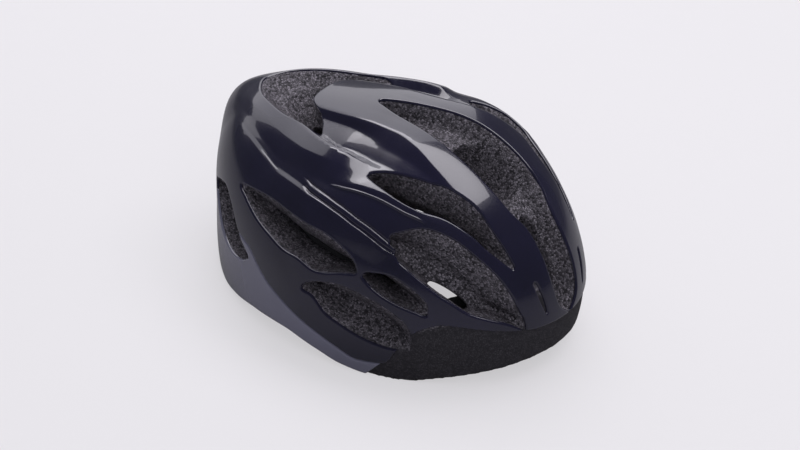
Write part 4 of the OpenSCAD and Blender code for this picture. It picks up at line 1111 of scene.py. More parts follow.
class HelmetLook(bpy.types.PropertyGroup):
    shell_deep: FloatVectorProperty(name="Shell, deep", description="Darker colour of the upper shell",
                                    default=(0.0032, 0.003, 0.009), size=3, min=0, max=1, subtype="COLOR")
    shell_lit: FloatVectorProperty(name="Shell, lit", description="Lighter colour of the upper shell",
                                   default=(0.0105, 0.0092, 0.03), size=3, min=0, max=1, subtype="COLOR")
    slate_deep: FloatVectorProperty(name="Lower shell, deep", description="Darker colour of the lower shell",
                                    default=(0.09, 0.09, 0.125), size=3, min=0, max=1, subtype="COLOR")
    slate_lit: FloatVectorProperty(name="Lower shell, lit", description="Lighter colour of the lower shell",
                                   default=(0.15, 0.147, 0.2), size=3, min=0, max=1, subtype="COLOR")
    foam_dark: FloatVectorProperty(name="Foam, dark", description="Darkest foam beads",
                                   default=(0.016, 0.015, 0.018), size=3, min=0, max=1, subtype="COLOR")
    foam_pale: FloatVectorProperty(name="Foam, pale", description="Palest foam beads",
                                   default=(0.2, 0.185, 0.21), size=3, min=0, max=1, subtype="COLOR")
    floor: FloatVectorProperty(name="Floor", description="Colour of the floor and the backdrop",
                               default=(0.9, 0.885, 0.91), size=3, min=0, max=1, subtype="COLOR")
    page_share: FloatProperty(name="Page share",
                              description="How far the floor's shadows are lifted towards its colour",
                              default=0.6, min=0, max=1, subtype="FACTOR")
    floor_dimming: FloatProperty(name="Floor dimming",
                                 description="How far the floor is dimmed in mirrored light",
                                 default=0.7, min=0, max=1, subtype="FACTOR")


class HelmetSoft(bpy.types.PropertyGroup):
    pad_thickness: FloatProperty(name="Pad thickness", description="Thickness of a pad at its middle",
                                 default=6.6 * MM, min=0.004, max=0.009, subtype="DISTANCE", unit="LENGTH")
    pad_edge: FloatProperty(name="Pad edge", description="Thickness of a pad's welded edge",
                            default=1.6 * MM, min=0.001, max=0.003, subtype="DISTANCE", unit="LENGTH")
    web_width: FloatProperty(name="Webbing width", description="Width of the straps",
                             default=15 * MM, min=0.012, max=0.018, subtype="DISTANCE", unit="LENGTH")
    web_thickness: FloatProperty(name="Webbing thickness", description="Thickness of the straps",
                                 default=1.2 * MM, min=0.0008, max=0.0018, subtype="DISTANCE", unit="LENGTH")
    stitch_length: FloatProperty(name="Stitch length", description="Length of one stitch of the tacks",
                                 default=1.6 * MM, min=0.001, max=0.003, subtype="DISTANCE", unit="LENGTH")


class HelmetFit(bpy.types.PropertyGroup):
    knob_radius: FloatProperty(name="Knob radius", description="Radius of the dial's knob", default=14 * MM,
                               min=0.01, max=0.02, subtype="DISTANCE", unit="LENGTH")
    grip_ribs: IntProperty(name="Grip ribs", description="Number of fine ribs round the knob's front",
                           default=40, min=12, max=80)
    edge_round: FloatProperty(name="Edge rounding", description="Rounding of moulded edges", default=0.3 * MM,
                              min=0.0001, max=0.001, subtype="DISTANCE", unit="LENGTH")


# Shells and foam
class HELMET_OT_shells(bpy.types.Operator):
    """Makes the upper shell with its ridges and vents, and the lower shell round the nape and the sides"""
    bl_idname = "helmet.shells"
    bl_label = "Shells"

    def execute(self, context):
        shape = context.scene.helmet_shape
        thick, rim, step = shape.shell_thickness / MM, shape.rim_radius / MM, shape.skin_step / MM
        holes = [outline(dense) for _, dense in all_vents()]
        upper = shell_patch("upper_shell_skin", ring_round(level_line(GLOSS_LINE)), holes,
                            finish("gloss_black"), thick, step, rim)
        place(upper, "outer_shell")
        seam = level_line(GLOSS_LINE, 0.35, SEAM_START)
        edge = level_line(EDGE_LINE, 0.0, EDGE_START)
        corner = even_steps(np.vstack([edge[:1], seam[:1]]), 0.9, closed=False)
        half = np.vstack([corner[:-1], seam])
        left = half * [1, -1]
        border = np.vstack([half, left[-2::-1], (edge * [1, -1])[1:], edge[-2:0:-1]])
        lower = shell_patch("lower_shell_skin", border, holes, finish("gloss_slate"), thick, step, rim)
        place(lower, "lower_shell")
        return {"FINISHED"}


class HELMET_OT_foam(bpy.types.Operator):
    """Makes the foam liner: its sloped vents, head cavity, air grooves and the recesses for what it holds"""
    bl_idname = "helmet.foam"
    bl_label = "Foam liner"

    def execute(self, context):
        shape = context.scene.helmet_shape
        drop = (shape.shell_thickness + shape.foam_gap) / MM
        foam = grid_solid("foam_body", *star_mesh(drop))
        cutters = [grid_solid("cavity", *cavity_mesh())]
        cutters += [grid_solid("groove", *groove_mesh(side)) for side in (-1, 0, 1)]
        ys = np.arange(-175, 175.1, 2.5)
        edge = [(-175, -200)] + list(zip(ys, along(ys, EDGE_LINE))) + [(175, -200)]
        cutters.append(grid_solid("below", *prism(edge, 130)))
        for name, dense in all_vents():
            cutters += vent_cutters(name, dense)
        cut(foam, cutters + recess_cutters())
        settle(foam, [("REMESH", {"mode": "VOXEL", "voxel_size": shape.foam_step, "use_smooth_shade": True}),
                      ("SMOOTH", {"factor": 0.5, "iterations": 2})])
        if len(foam.data.polygons) < 10000:
            raise RuntimeError("the foam came out empty")
        foam.data.materials.clear()
        foam.data.materials.append(finish("foam"))
        self.mark_skin_and_shade(foam, drop)
        place(foam, "foam_liner")
        return {"FINISHED"}

    def mark_skin_and_shade(self, foam, drop):
        """Writes a mask of a smoother closed skin and of painted shade: on the foam's outside, in a band
        along the brow's lower edge, where the foam is darkened.
        """
        at = np.zeros(len(foam.data.vertices) * 3, np.float32)
        foam.data.vertices.foreach_get("co", at)
        at = at.reshape(-1, 3) / MM
        depth = reach(*angles(at), False) - np.linalg.norm(at - CENTRE, axis=1) - drop
        # Painted shade: the mask is strongest on the outside, low down and at the front, where it darkens the
        # foam.
        outside = np.clip(1.6 - depth, 0, 1)
        low = np.clip(3.2 - 0.12 * at[:, 2] - 0.04 * at[:, 1], 0, 1)
        before = np.clip(-at[:, 1] / 20, 0, 1)
        layer = foam.data.attributes.new("skin_and_shade", "FLOAT", "POINT")
        layer.data.foreach_set("value", (outside * low * before).astype(np.float32))


# Soft pieces
def add_map(piece, values, name="UVMap"):
    """Writes one map position per vertex, in metres."""
    layer = piece.data.uv_layers.new(name=name)
    corner = np.zeros(len(piece.data.loops), int)
    piece.data.loops.foreach_get("vertex_index", corner)
    layer.data.foreach_set("uv", np.asarray(values, float)[corner].ravel())


def seam_height(t):
    """Height of a welded edge and of the swell inside it, for t from 0 at the edge to 1 at the middle."""
    flat = 0.10
    swell = np.clip((t - flat) / (1 - flat), 0, 1)
    return np.where(t < flat, 0.0, (1 - (1 - swell) ** 3.2))


def pad_form(name, spot, along, across, soft, nodes, steps):
    """Comfort pad: knit cover over foam, pressed flat along a welded edge with a groove inside it."""
    low, high = soft.pad_edge / MM, soft.pad_thickness / MM
    m, n = steps
    s, t = np.meshgrid(np.linspace(-1, 1, m + 1), np.linspace(-1, 1, n + 1))
    rounding = np.sqrt(1 - 0.75 * np.abs(t) ** 6)
    a = (along[0] + along[1]) / 2 + (along[1] - along[0]) / 2 * s * rounding
    b = (across[0] + across[1]) / 2 + (across[1] - across[0]) / 2 * t
    base = spot(a, b, 0.2)
    long = np.linalg.norm(np.diff(base[n // 2], axis=0), axis=1).sum() / 2
    wide = np.linalg.norm(np.diff(base[:, m // 2], axis=0), axis=1).sum() / 2
    edge = np.minimum((1 - np.abs(s)) * long * rounding, (1 - np.abs(t)) * wide)
    share = np.clip(edge / (wide * 0.75), 0, 1)
    rng = np.random.default_rng(len(name) * 7 + 3)
    weight = np.zeros_like(s)
    for _ in range(9):
        fx, fy = rng.uniform(1.0, 5.0, 2)
        weight += np.sin(fx * s * 3 + rng.uniform(0, 6.3)) * np.sin(fy * t * 2 + rng.uniform(0, 6.3)) / 9
    rise = low + (high - low) * seam_height(share) * (1 + 0.10 * weight)
    groove = 0.45 * np.exp(-((edge - 2.6) / 0.5) ** 2)
    bead = 0.25 * np.exp(-((edge - 1.1) / 0.6) ** 2)
    roll = np.sqrt(np.clip(edge / 0.8, 0, 1))
    lift = np.maximum((rise - groove + bead) * (0.45 + 0.55 * roll), 0.35)
    face = spot(a, b, 0.2 + lift)
    count = (m + 1) * (n + 1)
    points = np.vstack([base.reshape(-1, 3), face.reshape(-1, 3)])
    w = m + 1
    j, i = np.meshgrid(np.arange(n), np.arange(m), indexing="ij")
    c = (j * w + i).ravel()
    back = np.stack([c, c + w, c + w + 1, c + 1], axis=1)
    front = np.stack([c, c + 1, c + w + 1, c + w], axis=1) + count
    rim = list(range(m)) + [k * w + m for k in range(n)] + [n * w + k for k in range(m, 0, -1)] \
        + [k * w for k in range(n, 0, -1)]
    sides = [(rim[k], rim[(k + 1) % len(rim)], rim[(k + 1) % len(rim)] + count, rim[k] + count)
             for k in range(len(rim))]
    piece = add_mesh(name, points, [tuple(f) for f in back] + [tuple(f) for f in front] + sides,
                     finish("pad_cloth"))
    flat = np.stack([s * long, t * wide], axis=-1).reshape(-1, 2) * MM
    add_map(piece, np.vstack([flat, flat]))
    place(piece, nodes)
    return piece


def mirror_image(piece, name):
    """Copy of a piece mirrored about the mid-plane, with its faces turned outward again."""
    twin = piece.copy()
    twin.data = piece.data.copy()
    twin.name = twin.data.name = name
    bpy.context.scene.collection.objects.link(twin)
    twin.parent = None
    twin.matrix_world = Matrix.Identity(4)
    twin.data.transform(Matrix.Scale(-1, 4, (1, 0, 0)))
    twin.data.flip_normals()
    return twin


def mirror_piece(piece, name, nodes):
    """The mirror image of a piece, in the place of nodes of its own."""
    twin = mirror_image(piece, name)
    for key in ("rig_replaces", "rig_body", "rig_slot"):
        if key in twin:
            del twin[key]
    place(twin, nodes)
    return twin


class HELMET_OT_pads(bpy.types.Operator):
    """Makes the six comfort pads as crowned forms with welded edges"""
    bl_idname = "helmet.pads"
    bl_label = "Comfort pads"

    def execute(self, context):
        soft = context.scene.helmet_soft
        pad_form("brow_pad_knit", wall_point, (-42, 42), (-10, 13), soft, "brow_pad", steps=(240, 48))
        crown = pad_form("crown_pad_knit_left", vault_point, (48, 128), (12, 22), soft, "crown_pad_left",
                         steps=(220, 40))
        side = pad_form("side_pad_knit_left", wall_point, (70, 112), (14, 38), soft, "side_pad_left",
                        steps=(110, 70))
        mirror_piece(crown, "crown_pad_knit_right", "crown_pad_right")
        mirror_piece(side, "side_pad_knit_right", "side_pad_right")
        front = BELT_Y - 1.75 - 2.0

        def flat(a, b, inset):
            a, b, inset = np.broadcast_arrays(a, b, inset)
            return np.stack([a, front - inset, DIAL_Z + b], axis=-1)
        pad_form("cradle_pad_knit", flat, (-25, 25), (-11.13, 11.13), soft, "cradle_pad", steps=(100, 50))
        return {"FINISHED"}


def strap_profile(half, thick, around=24, power=5.0):
    """Cross-section of webbing as (across, height): flat faces, and rounded selvedges a little thicker."""
    out = []
    for k in range(around):
        t = 2 * math.pi * (k + 0.5) / around
        c, d = math.cos(t), math.sin(t)
        across = half * math.copysign(abs(c) ** (2 / power), c)
        tall = math.copysign(abs(d) ** (2 / power), d)
        thinner = 0.03 * min(1, max(0, (half - abs(across)) / 1.6)) ** 2
        out.append((across, thick / 2 + tall * thick / 2 * (1 - thinner)))
    return out


def web_mesh(name, place_at, length, steps, soft):
    """Webbing along a path: place_at(s, across, height) gives a point, all in mm."""
    profile = strap_profile(soft.web_width / MM / 2, soft.web_thickness / MM)
    middle = soft.web_thickness / MM / 2
    rings, maps = [], []
    for s in np.linspace(0, length, steps + 1):
        rings.append([place_at(s, across, height) for across, height in profile])
        maps += [(s * MM, (across + (40 if height > middle else 0)) * MM) for across, height in profile]
    piece = add_mesh(name, *tube(rings), finish("webbing"))
    turn_outward(piece)
    add_map(piece, maps)
    return piece


def turn_outward(piece):
    bm = bmesh.new()
    bm.from_mesh(piece.data)
    bmesh.ops.recalc_face_normals(bm, faces=bm.faces)
    bm.to_mesh(piece.data)
    bm.free()


def row_group():
    """Geometry Nodes: sets one small piece on every point, along the point's own directions."""
    if "Row of pieces" in bpy.data.node_groups:
        return bpy.data.node_groups["Row of pieces"]
    tree, source, sink = new_group(
        "Row of pieces",
        [("Geometry", "NodeSocketGeometry", None), ("Piece", "NodeSocketObject", None),
         ("Length", "NodeSocketFloat", 0.0016), ("Width", "NodeSocketFloat", 0.0005),
         ("Unevenness", "NodeSocketFloat", 0.08), ("Seed", "NodeSocketInt", 7),
         ("Material", "NodeSocketMaterial", None)],
        [("Geometry", "NodeSocketGeometry")], "GeometryNodeTree")
    way = node(tree, "GeometryNodeInputNamedAttribute", {"Name": "way"}, data_type="FLOAT_VECTOR")
    up = node(tree, "GeometryNodeInputNamedAttribute", {"Name": "up"}, data_type="FLOAT_VECTOR")
    turn = node(tree, "FunctionNodeAxesToRotation", {0: up.outputs[0], 1: way.outputs[0]}, primary_axis="Z",
                secondary_axis="X")
    low = math_node(tree, "SUBTRACT", 1.0, source.outputs["Unevenness"])
    high = math_node(tree, "ADD", 1.0, source.outputs["Unevenness"])
    chance = tree.nodes.new("FunctionNodeRandomValue")
    tree.links.new(low, chance.inputs[2])
    tree.links.new(high, chance.inputs[3])
    tree.links.new(source.outputs["Seed"], chance.inputs["Seed"])
    size = node(tree, "ShaderNodeCombineXYZ", {0: source.outputs["Length"], 1: source.outputs["Width"],
                                               2: source.outputs["Width"]})
    scaled = node(tree, "ShaderNodeVectorMath", {0: size.outputs[0], "Scale": chance.outputs[1]},
                  operation="SCALE")
    made = node(tree, "GeometryNodeObjectInfo", {"Object": source.outputs["Piece"], "As Instance": True})
    rows = node(tree, "GeometryNodeInstanceOnPoints",
                {"Points": source.outputs["Geometry"], "Instance": made.outputs["Geometry"],
                 "Rotation": turn.outputs[0], "Scale": scaled.outputs[0]})
    real = node(tree, "GeometryNodeRealizeInstances", {0: rows.outputs[0]})
    dressed = node(tree, "GeometryNodeSetMaterial",
                   {0: real.outputs[0], "Material": source.outputs["Material"]})
    tree.links.new(dressed.outputs[0], sink.inputs[0])
    return tree


def small_form(name, kind):
    """The small piece that a row repeats, 1 long: a stitch with tapered ends, or a rib with rounded ends."""
    rings, sides = (5, 8) if kind == "stitch" else (4, 8)
    points, faces = [], []
    for j in range(rings):
        t = j / (rings - 1)
        x = -0.5 + t
        r = 0.5 * (max(0.15, math.sin(math.pi * (0.12 + 0.76 * t))) if kind == "stitch"
                   else (0.7 if j in (0, rings - 1) else 1.0))
        for i in range(sides):
            a = 2 * math.pi * i / sides
            points.append((x, r * math.cos(a), r * math.sin(a)))
    for j in range(rings - 1):
        for i in range(sides):
            a, b = j * sides + i, j * sides + (i + 1) % sides
            faces.append((a, b, b + sides, a + sides))
    faces += [tuple(reversed(range(sides))), tuple(range((rings - 1) * sides, rings * sides))]
    mesh = bpy.data.meshes.new(name)
    mesh.from_pydata(points, [], faces)
    mesh.polygons.foreach_set("use_smooth", [True] * len(mesh.polygons))
    form = bpy.data.objects.new(name, mesh)
    bpy.context.scene.collection.objects.link(form)
    turn_outward(form)
    return form


def row_of(name, spots, ways, ups, kind, length, width, slot_name, unevenness=0.08, seed=7):
    """One mesh with a small piece on every spot (mm), baked from the Geometry Nodes group."""
    piece = add_mesh(name, spots, [], None)
    for label, values in (("way", ways), ("up", ups)):
        layer = piece.data.attributes.new(label, "FLOAT_VECTOR", "POINT")
        layer.data.foreach_set("vector", np.asarray(values, float).ravel())
    form = small_form(name + "_form", kind)
    step = piece.modifiers.new("rows", "NODES")
    step.node_group = row_group()
    for item in step.node_group.interface.items_tree:
        if item.in_out != "INPUT" or item.socket_type == "NodeSocketGeometry":
            continue
        step[item.identifier] = {"Piece": form, "Length": length, "Width": width, "Unevenness": unevenness,
                                 "Seed": seed, "Material": finish(slot_name)}[item.name]
    bake(piece)
    discard(form)
    if len(piece.data.polygons) < len(spots) * 8:
        raise RuntimeError(name + " came out empty")
    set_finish(piece, slot_name if slot_name in SLOT_OF.values() else "webbing")
    return piece


BUCKLE_Y = CENTRE_Y + 5
DIVIDER_X, DIVIDER_SIZE, DIVIDER_LOW, DIVIDER_H = 56.0, (18.0, 26.0), 1.7, 3.2
STRAP_GAP, FOLD_R, WEB_T = 0.3, 5.0, 1.2
TACK_LENGTH, TACK_HALF_W = 7, 5.4


def wall_radius(turn):
    t = math.radians(turn)
    return math.hypot(HEAD_HALF_W * math.cos(t), HEAD_HALF_L * math.sin(t)) ** 3 / HEAD_HALF_W / HEAD_HALF_L


def side_strap_path(turn, top, way, target):
    """The point function and the length of a side strap, from its anchor to its divider."""
    t, out = math.radians(turn), wall_angle(turn)
    foot = (HEAD_HALF_W * math.sin(t), CENTRE_Y - HEAD_HALF_L * math.cos(t))
    radius = wall_radius(turn)
    gone = (target[0] - foot[0], target[1] - foot[1])
    p_end = way * (-gone[0] * math.sin(out) + gone[1] * math.cos(out))
    in_end = -(gone[0] * math.cos(out) + gone[1] * math.sin(out)) - p_end * p_end / 2 / radius
    q_end = top - FOLD_R - STRAP_GAP + FOLD_R * math.pi / 2 + in_end - FOLD_R - STRAP_GAP
    slant, long = math.atan2(p_end, q_end), math.hypot(p_end, q_end)
    drop, arc = top - FOLD_R - STRAP_GAP, FOLD_R * math.pi / 2

    def at(s, across, height):
        p = s * math.sin(slant) + across * math.cos(slant)
        q = max(0.0, s * math.cos(slant) - across * math.sin(slant))
        lean = 0.0 if q < drop else min(math.pi / 2, (q - drop) / FOLD_R)
        flat = max(0.0, q - drop - arc)
        inward = STRAP_GAP + FOLD_R - (FOLD_R - height) * math.cos(lean) + flat + p * p / 2 / radius
        z = top - q if q < drop else STRAP_GAP + FOLD_R - (FOLD_R - height) * math.sin(lean)
        return (HEAD_HALF_W * math.sin(t) - inward * math.cos(out) - way * p * math.sin(out),
                CENTRE_Y - HEAD_HALF_L * math.cos(t) - inward * math.sin(out) + way * p * math.cos(out), z)
    return at, long


def chin_strap_path():
    """The point function and the length of a chin strap, from its divider up and over to the buckle."""
    a = np.array([DIVIDER_X - DIVIDER_SIZE[0] / 2 - 0.9, DIVIDER_LOW + DIVIDER_H / 2])
    d = np.array([25.9, 4.2])
    b, c = a + [-8, 18], d + [8, 18]
    t = np.linspace(0, 1, 400)[:, None]
    line = (1 - t) ** 3 * a + 3 * t * (1 - t) ** 2 * b + 3 * t * t * (1 - t) * c + t ** 3 * d
    far = np.concatenate([[0], np.cumsum(np.linalg.norm(np.diff(line, axis=0), axis=1))])
    slope = np.gradient(line, axis=0)
    slope /= np.linalg.norm(slope, axis=1, keepdims=True)

    def at(s, across, height):
        x, z = np.interp(s, far, line[:, 0]), np.interp(s, far, line[:, 1])
        dx, dz = np.interp(s, far, slope[:, 0]), np.interp(s, far, slope[:, 1])
        lift = height - WEB_T / 2
        return (x + dz * lift, BUCKLE_Y + across, z - dx * lift)
    return at, far[-1]


def stitch_rows(name, at, stations, width, length, face):
    """Rows of stitches across or along a strap. stations are ((s, across), (s, across)) lines."""
    spots, ways, ups = [], [], []
    for (s0, c0), (s1, c1) in stations:
        long = math.hypot(s1 - s0, c1 - c0)
        count = max(2, int(long / (length * 1.25)))
        for k in range(count):
            f = (k + 0.5) / count
            s, c = s0 + (s1 - s0) * f, c0 + (c1 - c0) * f
            p = np.array(at(s, c, face))
            q = np.array(at(s + (s1 - s0) / long * 0.3, c + (c1 - c0) / long * 0.3, face))
            inside = np.array(at(s, c, WEB_T / 2))
            up = (p - inside) / np.linalg.norm(p - inside)
            way = (q - p) / max(np.linalg.norm(q - p), 1e-9)
            spots.append(p)
            ways.append(way)
            ups.append(up)
    return row_of(name, spots, ways, ups, "stitch", length * MM, width * MM, "thread")


class HELMET_OT_straps(bpy.types.Operator):
    """Makes the side straps and the chin straps as woven webbing with sewn tacks"""
    bl_idname = "helmet.straps"
    bl_label = "Straps"

    def execute(self, context):
        soft = context.scene.helmet_soft
        half = DIVIDER_SIZE[1] / 2
        paths = {
            "front_strap": side_strap_path(FRONT_TURN, FRONT_Z, 1, (DIVIDER_X + 3, BUCKLE_Y - half + 3)),
            "rear_strap": side_strap_path(REAR_TURN, REAR_Z, -1, (DIVIDER_X + 3, BUCKLE_Y + half - 3)),
            "chin_strap": chin_strap_path(),
        }
        length = soft.stitch_length / MM
        for label, (at, long) in paths.items():
            left = web_mesh(label + "_web_left", at, long, 110, soft)
            place(left, label + "_left")
            mirror_piece(left, label + "_web_right", label + "_right")
            lines, c = [], TACK_HALF_W
            for s in (6.0, long - 13.0) if label == "chin_strap" else (12.0,):
                e = s + TACK_LENGTH
                lines += [((s, -c), (s, c)), ((s, c), (e, c)), ((e, c), (e, -c)), ((e, -c), (s, -c)),
                          ((s, -c), (e, c))]
            face = WEB_T + 0.05
            tack = stitch_rows(label + "_tack_left", at, lines, 0.55, length, face)
            body = BODY_OF[label + "_left"]
            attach(tack, body)
            twin = mirror_image(tack, label + "_tack_right")
            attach(twin, body)
            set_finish(twin, "webbing")
        return {"FINISHED"}


# Fit system and hardware
# Face of the knob: the belts' middle, 4.05 mm of housing and 9 mm of knob
KNOB_FACE = BELT_Y + 4.05 + 9


def rounded_copy(name, width=0.3, segments=2, merge=0.01):
    """Welded copy of a CAD node with its flat faces joined and its edges rounded."""
    source = bpy.data.objects[name]
    mesh = source.data.copy()
    mesh.name = name + "_rounded"
    mesh.transform(source.matrix_world)
    bm = bmesh.new()
    bm.from_mesh(mesh)
    bmesh.ops.remove_doubles(bm, verts=bm.verts, dist=merge * MM)
    bmesh.ops.dissolve_degenerate(bm, edges=bm.edges, dist=merge * MM)
    bmesh.ops.dissolve_limit(bm, angle_limit=math.radians(1.0), verts=bm.verts, edges=bm.edges)
    bmesh.ops.recalc_face_normals(bm, faces=bm.faces)
    bm.to_mesh(mesh)
    bm.free()
    mesh.materials.clear()
    mesh.materials.append(finish(SLOT_OF[name]))
    for layer in list(mesh.attributes):
        if layer.name.startswith("custom_normal"):
            mesh.attributes.remove(layer)
    piece = bpy.data.objects.new(name + "_rounded", mesh)
    bpy.context.scene.collection.objects.link(piece)
    settle(piece, [("BEVEL", {"width": width * MM, "segments": segments, "limit_method": "ANGLE",
                              "angle_limit": math.radians(32), "use_clamp_overlap": True,
                              "miter_outer": "MITER_ARC"})])
    piece.data.set_sharp_from_angle(angle=math.radians(36))
    return piece


def band_mesh(name, path, half_w=5.0, half_t=0.9, steps_round=20):
    """Flexible band along a path in x and y."""
    rings = []
    way = np.gradient(path, axis=0)
    way /= np.linalg.norm(way, axis=1, keepdims=True)
    for p, w in zip(path, way):
        side = np.array([w[1], -w[0]])
        ring = []
        for k in range(steps_round):
            t = 2 * math.pi * (k + 0.5) / steps_round
            c, d = math.cos(t), math.sin(t)
            up = half_w * math.copysign(abs(d) ** 0.35, d)
            out = half_t * math.copysign(abs(c) ** 0.6, c)
            ring.append((p[0] + side[0] * out, p[1] + side[1] * out, DIAL_Z + up))
        rings.append(ring)
    points, faces = tube(rings)
    piece = add_mesh(name, points, faces, finish("nylon"))
    turn_outward(piece)
    return piece


def band_line():
    """Middle line of the flexible band, from the temple to the belt's paddle, in x and y."""
    turns = np.radians(np.arange(TEMPLE_TURN, 124.5, 1.5))
    arc = np.stack([BAND_HALF_W * np.sin(turns), CENTRE_Y - BAND_HALF_L * np.cos(turns)], axis=1)
    last = math.radians(125)
    a = np.array([BAND_HALF_W * math.sin(last), CENTRE_Y - BAND_HALF_L * math.cos(last)])
    way = np.array([BAND_HALF_W * math.cos(last), BAND_HALF_L * math.sin(last)])
    way /= np.linalg.norm(way)
    end = np.array([40.6, BELT_Y])
    b, c, d = a + 16 * way, end + [12, 0], end + [0.3, 0]
    t = np.linspace(0, 1, 40)[:, None]
    curve = (1 - t) ** 3 * a + 3 * t * (1 - t) ** 2 * b + 3 * t * t * (1 - t) * c + t ** 3 * d
    return np.vstack([arc, curve])


class HELMET_OT_fit(bpy.types.Operator):
    """Makes the fit system: housing, cover, ribbed knob, pinion, screw, toothed belts, band and clips"""
    bl_idname = "helmet.fit"
    bl_label = "Fit system"

    def execute(self, context):
        fit = context.scene.helmet_fit
        edge = fit.edge_round / MM
        for name, width in (("dial_housing", edge), ("housing_cover", edge), ("dial_pinion", 0.08),
                            ("belt_right", 0.1), ("belt_left", 0.1), ("height_anchor", edge * 1.3),
                            ("temple_anchor_right", edge), ("temple_anchor_left", edge)):
            place(rounded_copy(name, width), name)
        knob = rounded_copy("dial_knob", 0.45, 3)
        place(knob, "dial_knob")
        self.knob_ribs(fit)
        self.screw()
        line = band_line()
        far = np.concatenate([[0], np.cumsum(np.linalg.norm(np.diff(line, axis=0), axis=1))])
        middle, bend = (int(np.searchsorted(far, far[-1] * share)) for share in (0.55, 0.83))
        for side, label in ((-1, "right"), (1, "left")):
            way = line * [side, 1]
            front = band_mesh("band_front_" + label, way[:middle + 1])
            rear = band_mesh("band_rear_" + label, way[middle:])
            for piece in (front, rear):
                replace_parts(piece, "band_arm_" + label)
                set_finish(piece, "nylon")

            def spot(i):
                return way[i][0] * MM, way[i][1] * MM, DIAL_Z * MM
            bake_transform(front, "helmet", "cradle", spot(4), spot(middle))
            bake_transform(rear, "cradle", label + "_belt", spot(bend), spot(len(way) - 4))
        return {"FINISHED"}

    def knob_ribs(self, fit):
        """Fine ribs round the knob's rear rim, between the finger scallops."""
        spots, ways, ups = [], [], []
        radius = fit.knob_radius / MM
        y = KNOB_FACE - 3.4
        count = fit.grip_ribs
        for k in range(count):
            a = 2 * math.pi * (k + 0.5) / count
            scallop = abs((math.degrees(a) + 18) % 36 - 18)
            if scallop < 9.5:
                continue
            spots.append((radius * math.cos(a), y, DIAL_Z + radius * math.sin(a)))
            ways.append((0, 1, 0))
            ups.append((math.cos(a), 0, math.sin(a)))
        ribs = row_of("knob_ribs", spots, ways, ups, "rib", 0.0056, 0.0007, "grip", 0.0, 11)
        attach(ribs, "dial")

    def screw(self):
        """Screw with a cross recess in its head."""
        name = "dial_screw"
        source = rounded_copy(name, 0.2)
        head = KNOB_FACE - 0.4
        cutters = []
        for size in ((2.1, 0.45), (0.45, 2.1)):
            cutters.append(grid_solid("recess", *box_mesh((-size[0], head - 1.0, DIAL_Z - size[1]),
                                                          (size[0], head + 1.0, DIAL_Z + size[1]))))
        cut(source, cutters)
        source.data.materials.clear()
        source.data.materials.append(finish("steel"))
        place(source, name)


class HELMET_OT_hardware(bpy.types.Operator):
    """Makes the strap anchors, the dividers with their levers, and the buckle with its prongs"""
    bl_idname = "helmet.hardware"
    bl_label = "Strap hardware"

    def execute(self, context):
        edge = context.scene.helmet_fit.edge_round / MM
        for name in ("strap_anchor_front_right", "strap_anchor_front_left", "strap_anchor_rear_right",
                     "strap_anchor_rear_left", "divider_right", "divider_left", "divider_lever_right",
                     "divider_lever_left", "buckle_female", "buckle_male", "buckle_prong_front",
                     "buckle_prong_rear"):
            width = edge * 1.5 if name.startswith("buckle_") and "prong" not in name else edge
            place(rounded_copy(name, width), name)
        return {"FINISHED"}


# Stage
# The photo's camera: angles in degrees, focal length in mm, distance in metres and shift in picture widths
PHOTO_AZIMUTH, PHOTO_TILT, PHOTO_ROLL = -57.81, 32.6, 3.78
PHOTO_LENS, PHOTO_DISTANCE, PHOTO_SHIFT = 103.96, 1.62691, (0.0102, -0.0267)


